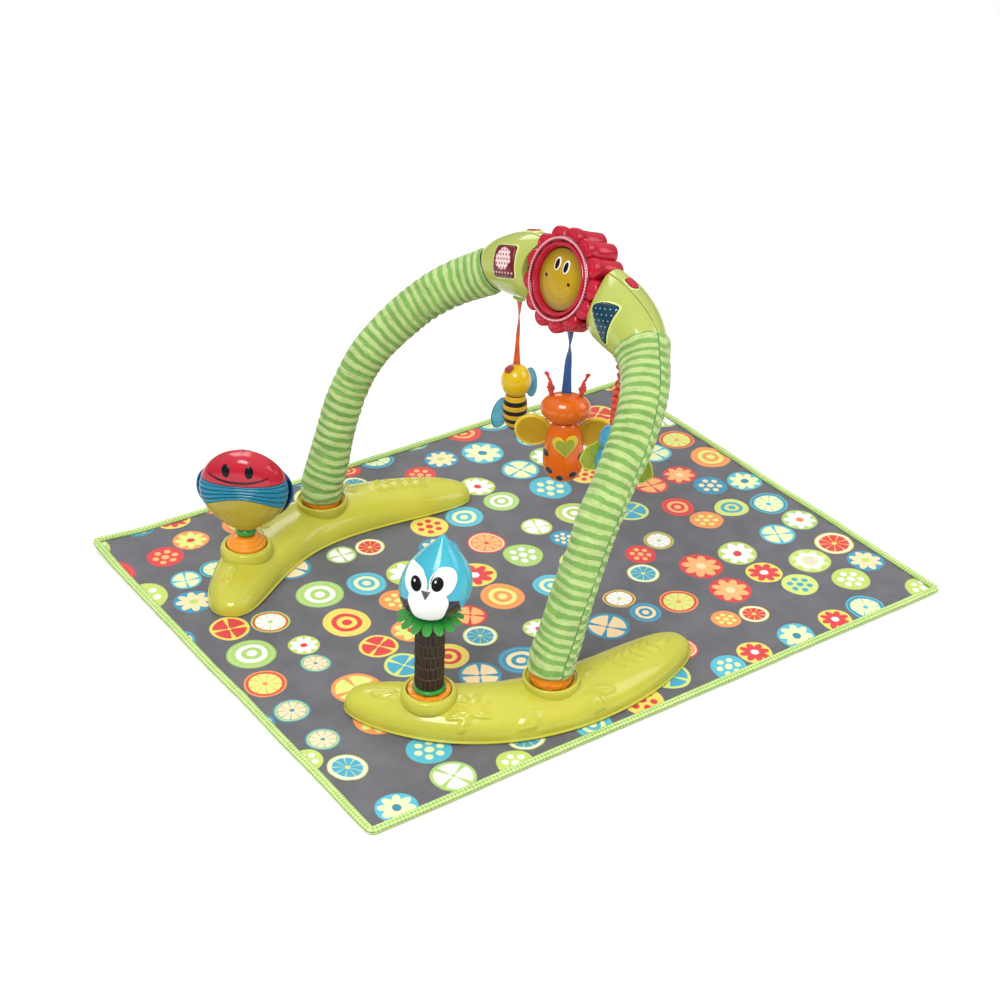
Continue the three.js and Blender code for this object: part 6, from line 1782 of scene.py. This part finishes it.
def spinner_skin(share, w, way):
    """The round face's skin, on its front or its back: rings that are flattened ovals, cut by an
    upright plane; w runs from one cut edge to the other."""
    table = smooth_line(SPINNER_ROWS if way < 0 else BACK_ROWS, 300)
    swell = np.interp(share, table[:, 0], table[:, 1])
    deep = np.sqrt(np.maximum(swell, 0.02))
    back = 22 * (deep if way < 0 else np.minimum(deep, 1.7 * swell))
    start = np.arcsin(np.clip((3.0 + way * 0.2) / back, -0.95, 0.95) ** (1 / SPINNER_POWER))
    angle = (math.pi - start) + w * (math.pi + 2 * start) if way < 0 else start + w * (math.pi - 2 * start)
    depth = np.where(np.sin(angle) < 0, 25 * deep, back)
    return stacked(signed_power(np.cos(angle), SPINNER_POWER) * SPINNER_HALF * swell,
                   signed_power(np.sin(angle), SPINNER_POWER) * depth, SPINNER_FOOT + share * SPINNER_HEIGHT)


def make_round_face(context):
    toys = context.scene.gym_toys
    matrix = toy_frame(1, ROUND_FACE_TURN)
    orange = plastic("stepped_orange", linear("ec9224"), 0.25, 0.08)
    rings = rounded([(1, 17.3), (20, 17.3), (22, 19.3), (22, 43.8), (23, 45), (23, 48.4), (21.8, 50.4),
                     (19.8, 51), (19.5, 53.4), (18.6, 54.7), (16, 55.4), (15.5, 57.6), (14.5, 59.2),
                     (10.4, 59.7), (1, 59.7)], 0.6)
    piece("stepped_plug", turned(rings, 80), matrix, orange, "mat_and_bases", ["spinner_plug"],
          crease=50)
    green = plastic("bead_green", linear("31913a"), 0.18, 0.08, 0.4)
    bead = [(1, 60.1), (6.8, 60.1), (10.6, 61.9), (12.2, 65.5), (10.6, 69.1), (7, 70.8), (4, 71.0),
            (4, 90), (3, 91), (1, 91)]
    profile = np.vstack([smooth_line(bead[:6], 40), bead[6:]])
    piece("green_bead", turned(profile, 64), matrix, green, "mat_and_bases", ["spinner_neck"],
          crease=60)
    columns = 150
    w = np.linspace(0, 1, columns)[None, :]

    def seam_share(grow_z):
        """The share of the height at which each column meets the arched seam."""
        share = np.full((1, columns), 0.4)
        for _ in range(12):
            x = spinner_skin(share, w, -1)[..., 0]
            share = (48.5 + grow_z - 21 * (x / SPINNER_HALF) ** 2) / SPINNER_HEIGHT
        return np.clip(share, 0.02, 1)

    def between(low, high, rows):
        return low + (high - low) * np.linspace(0, 1, rows)[:, None]

    mustard = plastic("belly_mustard", linear("ac9832"), 0.16, 0.06, 0.3)
    share = between(0.004, seam_share(-0.2), 60)
    piece("round_face_belly", spinner_skin(share, w + 0 * share, -1), matrix, mustard, "round_face",
          ["spinner_belly"], wrap=False, wall=2)
    # the band: ridges that follow its arched lower seam, with painted shade darkening the grooves between
    # them
    share = between(seam_share(0.2), 0.658, 120)
    part = np.linspace(0, 1, 120)[:, None]
    ribs = np.abs(np.sin(part * math.pi * 4.5)) ** 0.6
    sway = np.minimum(1, 6 * np.minimum(w, 1 - w)) * np.minimum(1, 9 * (1 - part) + 0.2)
    band = spinner_skin(share, w + 0 * share, -1)
    out = normals(band)
    out = out * np.sign(np.sum(out[..., 1]) * -1)
    band = band + out * ((1.9 * ribs - 0.5) * sway)[..., None]
    paint = Paint("band_turquoise")
    at = paint.places()
    _, run = paint.map()
    high = float(np.linalg.norm(np.diff(band, axis=0), axis=2).mean(axis=1).sum())
    depth = (run * (math.pi * 4.5 / high)).sine().size()
    grain = paint.noise(at, 0.05, 3.0)
    tone = paint.mix(grain, linear("0f7290"), linear("16809c"))
    # painted shade in the grooves: the band darkens towards 0a2f3c between the ridges
    tone = paint.mix(depth.step(0.45, 0.12) * 0.75, tone, linear("0a2f3c"))
    blue = paint.finish(tone, grain * 0.1 + 0.12, None, coat=0.3, coat_rough=0.08, specular=0.3)
    piece("round_face_band", band, matrix, blue, "round_face", ["spinner_band"],
          wrap=False, wall=1.2)
    red = plastic("dome_red", tuple(toys.dome), 0.14, 0.08, 0.4, 0.25)
    share = 0.662 + (1 - 0.662) * (1 - (1 - np.linspace(0, 1, 80)) ** 1.7)[:, None]
    dome = spinner_skin(share, w + 0 * share, -1)
    dome = np.concatenate([dome, dome[-1:] * (0.05, 1, 1)])
    piece("round_face_dome", dome, matrix, red, "round_face", ["spinner_face"],
          wrap=False, wall=2)
    royal = plastic("back_royal", linear("0c4a88"), 0.16, 0.08, 0.4)
    share = 0.012 + 0.986 * (0.5 - 0.5 * np.cos(np.linspace(0.04, 1, 120) * math.pi))[:, None]
    piece("round_face_back", spinner_skin(share, w + 0 * share, 1), matrix, royal, "round_face",
          ["spinner_back_shell"], wrap=False, wall=2.4)
    black = black_gloss("dome_eye_black")
    table = smooth_line(SPINNER_ROWS, 300)

    def front_at(x, z, proud):
        """The front skin's depth under a place in X and Z."""
        swell = np.interp((z - SPINNER_FOOT) / 100, table[:, 0], table[:, 1])
        across = np.clip(np.abs(x) / (SPINNER_HALF * swell), 0, 0.999) ** (1 / SPINNER_POWER)
        return -(25 * np.sqrt(np.maximum(swell, 0.1)) * np.sqrt(1 - across**2) ** 0.9 + proud)

    for name, x0 in (("left", -16.5), ("right", 10.5)):
        t, b = unit_grid(16, 48)
        scale = np.cos(t * math.pi / 2 * 0.98)
        x = x0 + 5.2 * scale * np.cos(b * TAU)
        z = SPINNER_FOOT + 83.5 + 7.6 * scale * np.sin(b * TAU)
        y = front_at(x, z, -0.5) - 1.5 * np.sin(t * math.pi / 2)
        piece(f"round_face_{name}_eye", stacked(x, y, z), matrix, black, "round_face")
    x = np.linspace(-35, 35, 90)
    z = SPINNER_FOOT + 70.6 + 5.6 * (np.abs(x) / 35) ** 2.2
    path = np.stack([x - 3, front_at(x - 3, z, 0.1), z], axis=1)
    taper = 0.25 + 0.75 * np.sqrt(np.clip(1 - (x / 35.5) ** 2, 0, None))
    piece("round_face_smile", rope(path, 1.25 * taper, 12), matrix, black, "round_face")


# Stage and the parts of the frame that show as they are


def make_stage(context):
    """A plain pale floor, soft light from above and the camera at its viewing angle."""
    scene = context.scene
    scene.view_settings.view_transform = "Standard"
    paint = Paint("pale_floor")
    at = paint.places()
    cloud = paint.noise(at, 0.002, 2.0)
    tone = paint.mix(cloud, (0.93, 0.93, 0.93), (0.96, 0.96, 0.96))
    v, u = unit_grid(3, 3, wrap=False)
    points = stacked((u - 0.5) * 16000, (v - 0.5) * 16000, -0.3 + 0 * u)
    mesh = make_mesh("floor", points, WORLD, False, False, False, None, 0)
    mesh.materials.append(paint.finish(tone, cloud * 0.1 + 0.8, None, specular=0.1))
    floor = bpy.data.objects.new("floor", mesh)
    scene.collection.objects.link(floor)
    # the room: bright overhead and dim towards the horizon
    room = Paint("soft_room", bpy.data.worlds.new("soft_room"))
    _, _, up = room.parts(room.node("ShaderNodeTexCoord")["Generated"])
    inputs = {"Color": (1.0, 1.0, 1.0), "Strength": up.step(-0.1, 1.0) * 0.78 + 0.22}
    sky = room.node("ShaderNodeBackground", None, inputs)["Background"]
    room.node("ShaderNodeOutputWorld", None, {"Surface": sky})
    scene.world = room.owner
    for name, place, aim, size, power in (("key", (-1.6, -1.2, 2.3), (0, 0, 0.1), 1.1, 52),
        ("fill", (1.9, -1.6, 1.7), (0, 0, 0.1), 1.4, 18), ("back", (0.6, 2.2, 2.2), (0, 0, 0.1), 1.4, 22)):
        light = bpy.data.lights.new(name, "AREA")
        light.size, light.energy = size, power
        lamp = bpy.data.objects.new(name, light)
        out = np.array(place) - np.array(aim)
        lamp.matrix_world = Matrix(basis((out[1], -out[0], 0), (0, 0, 1), out, place).tolist())
        scene.collection.objects.link(lamp)
    azimuth, elevation, roll = -38.19 * RAD, 30.3 * RAD, -3.02 * RAD
    back = np.array([math.sin(azimuth) * math.cos(elevation), -math.cos(azimuth) * math.cos(elevation),
                     math.sin(elevation)])
    ahead = -back
    right = np.cross(ahead, (0, 0, 1))
    right /= np.linalg.norm(right)
    down = np.cross(ahead, right)
    rolled = right * math.cos(roll) + down * math.sin(roll)
    fallen = down * math.cos(roll) - right * math.sin(roll)
    made = np.eye(4)
    made[:3, 0], made[:3, 1], made[:3, 2] = rolled, -fallen, back
    made[:3, 3] = np.array([-1194.4, -1600.6, 1300.0]) * MM
    lens = bpy.data.cameras.new("camera")
    lens.sensor_width, lens.lens = 36, 36 * 1.97355
    lens.shift_x, lens.shift_y = -0.06304, -0.02331
    camera = bpy.data.objects.new("camera", lens)
    camera.matrix_world = Matrix(made.tolist())
    scene.collection.objects.link(camera)
    scene.camera = camera


def make_kept_parts(context):
    """The frame's own nodes that show or hide behind others keep their shape in a better finish."""
    tone = tuple(context.scene.gym_plastic.base)
    finishes = {
        ("left_base_plate", "right_base_plate"): plastic("plate_lime", shade(tone, 0.85), 0.5, 0.08, 0),
        ("left_leg_tube", "right_leg_tube"): plastic("tube_grey", linear("dadfd4"), 0.4, 0.05, 0),
        ("left_switch_carrier", "right_switch_carrier"): plastic("carrier_white", linear("ecece6"), 0.45),
        ("battery_door",): plastic("door_red", linear("b3183a"), 0.35, 0.1, 0.2),
        ("circuit_board",): plastic("board_green", linear("2f7d4f"), 0.45, 0.2, 0),
        ("speaker",): metal("speaker_steel", linear("9a9ca0")),
        ("battery_1", "battery_2"): metal("battery_can", linear("3c3c42"), 0.4)}
    for names, finish in finishes.items():
        for name in names:
            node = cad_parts[name]
            for k in range(max(len(node.material_slots), 1)):
                if k < len(node.material_slots):
                    node.material_slots[k].material = finish
                else:
                    node.data.materials.append(finish)


def make_bases(context):
    settings = context.scene.gym_plastic
    finish = plastic("base_lime", tuple(settings.base), 0.2, 0.05, 0.3)
    for name, side in SIDES.items():
        make_base(name, side, settings, finish)


def make_arch(context):
    orange = plastic("foot_plug_orange", linear("ec9224"), 0.25, 0.08)
    for name, side in SIDES.items():
        make_sleeve(name, side, context.scene.gym_cloth)
        make_foot_plug(name, side, orange)


# Operators


class GymStep:
    """What the operators share: each runs the function that makes its own pieces."""

    def execute(self, context):
        self.make(context)
        return {"FINISHED"}


class GYM_OT_stage(GymStep, bpy.types.Operator):
    """Make the floor, the lights and the camera"""

    bl_idname, bl_label = "gym.stage", "Stage"
    make = staticmethod(make_stage)


class GYM_OT_mat(GymStep, bpy.types.Operator):
    """Make the printed mat and its binding"""

    bl_idname, bl_label = "gym.mat", "Mat"
    make = staticmethod(make_mat)


class GYM_OT_bases(GymStep, bpy.types.Operator):
    """Make the two crescent bases with their sockets"""

    bl_idname, bl_label = "gym.bases", "Bases"
    make = staticmethod(make_bases)


class GYM_OT_arch(GymStep, bpy.types.Operator):
    """Make the two striped sleeves and the plugs that the legs stand on"""

    bl_idname, bl_label = "gym.arch", "Arch"
    make = staticmethod(make_arch)


class GYM_OT_lobes(GymStep, bpy.types.Operator):
    """Make the half shells of the two lobes"""

    bl_idname, bl_label = "gym.lobes", "Lobes"
    make = staticmethod(make_lobes)


class GYM_OT_flower(GymStep, bpy.types.Operator):
    """Make the flower: petals, beaded ring, drum and smiling lens"""

    bl_idname, bl_label = "gym.flower", "Flower"
    make = staticmethod(make_flower)


class GYM_OT_buttons(GymStep, bpy.types.Operator):
    """Make the four buttons and their rims"""

    bl_idname, bl_label = "gym.buttons", "Buttons"
    make = staticmethod(make_buttons)


class GYM_OT_bee(GymStep, bpy.types.Operator):
    """Make the bee and its ribbon"""

    bl_idname, bl_label = "gym.bee", "Bee"
    make = staticmethod(make_bee)


class GYM_OT_butterfly(GymStep, bpy.types.Operator):
    """Make the butterfly and its ribbon"""

    bl_idname, bl_label = "gym.butterfly", "Butterfly"
    make = staticmethod(make_butterfly)


class GYM_OT_beetle(GymStep, bpy.types.Operator):
    """Make the beetle and its ribbon"""

    bl_idname, bl_label = "gym.beetle", "Beetle"
    make = staticmethod(make_beetle)


class GYM_OT_bird(GymStep, bpy.types.Operator):
    """Make the bird on its trunk"""

    bl_idname, bl_label = "gym.bird", "Bird"
    make = staticmethod(make_bird)


class GYM_OT_round_face(GymStep, bpy.types.Operator):
    """Make the round face on its bead"""

    bl_idname, bl_label = "gym.round_face", "Round face"
    make = staticmethod(make_round_face)


class GYM_OT_kept_parts(GymStep, bpy.types.Operator):
    """Give the frame's own parts their finishes"""

    bl_idname, bl_label = "gym.kept_parts", "Kept parts"
    make = staticmethod(make_kept_parts)


OPERATORS = (GYM_OT_stage, GYM_OT_mat, GYM_OT_bases, GYM_OT_arch, GYM_OT_lobes, GYM_OT_flower,
    GYM_OT_buttons, GYM_OT_bee, GYM_OT_butterfly, GYM_OT_beetle, GYM_OT_bird, GYM_OT_round_face,
    GYM_OT_kept_parts)


class GYM_PT_panel(bpy.types.Panel):
    """The steps that make the play gym, with their settings"""

    bl_idname = "GYM_PT_panel"
    bl_label = "Play gym"
    bl_space_type = "VIEW_3D"
    bl_region_type = "UI"
    bl_category = "Play gym"

    def draw(self, context):
        for operator in OPERATORS:
            self.layout.operator(operator.bl_idname)
        for label in ("gym_cloth", "gym_plastic", "gym_toys"):
            group = getattr(context.scene, label)
            box = self.layout.box()
            for key in group.__annotations__:
                box.prop(group, key)


def register():
    for kind in (*GROUPS, *OPERATORS, GYM_PT_panel):
        bpy.utils.register_class(kind)
    bpy.types.Scene.gym_cloth = bpy.props.PointerProperty(type=GymClothSettings)
    bpy.types.Scene.gym_plastic = bpy.props.PointerProperty(type=GymPlasticSettings)
    bpy.types.Scene.gym_toys = bpy.props.PointerProperty(type=GymToySettings)


def unregister():
    for label in ("gym_cloth", "gym_plastic", "gym_toys"):
        delattr(bpy.types.Scene, label)
    for kind in (GYM_PT_panel, *OPERATORS[::-1], *GROUPS[::-1]):
        bpy.utils.unregister_class(kind)


def main():
    register()
    for operator in OPERATORS:
        getattr(bpy.ops.gym, operator.bl_idname.split(".")[1])()


if __name__ == "__main__":
    main()
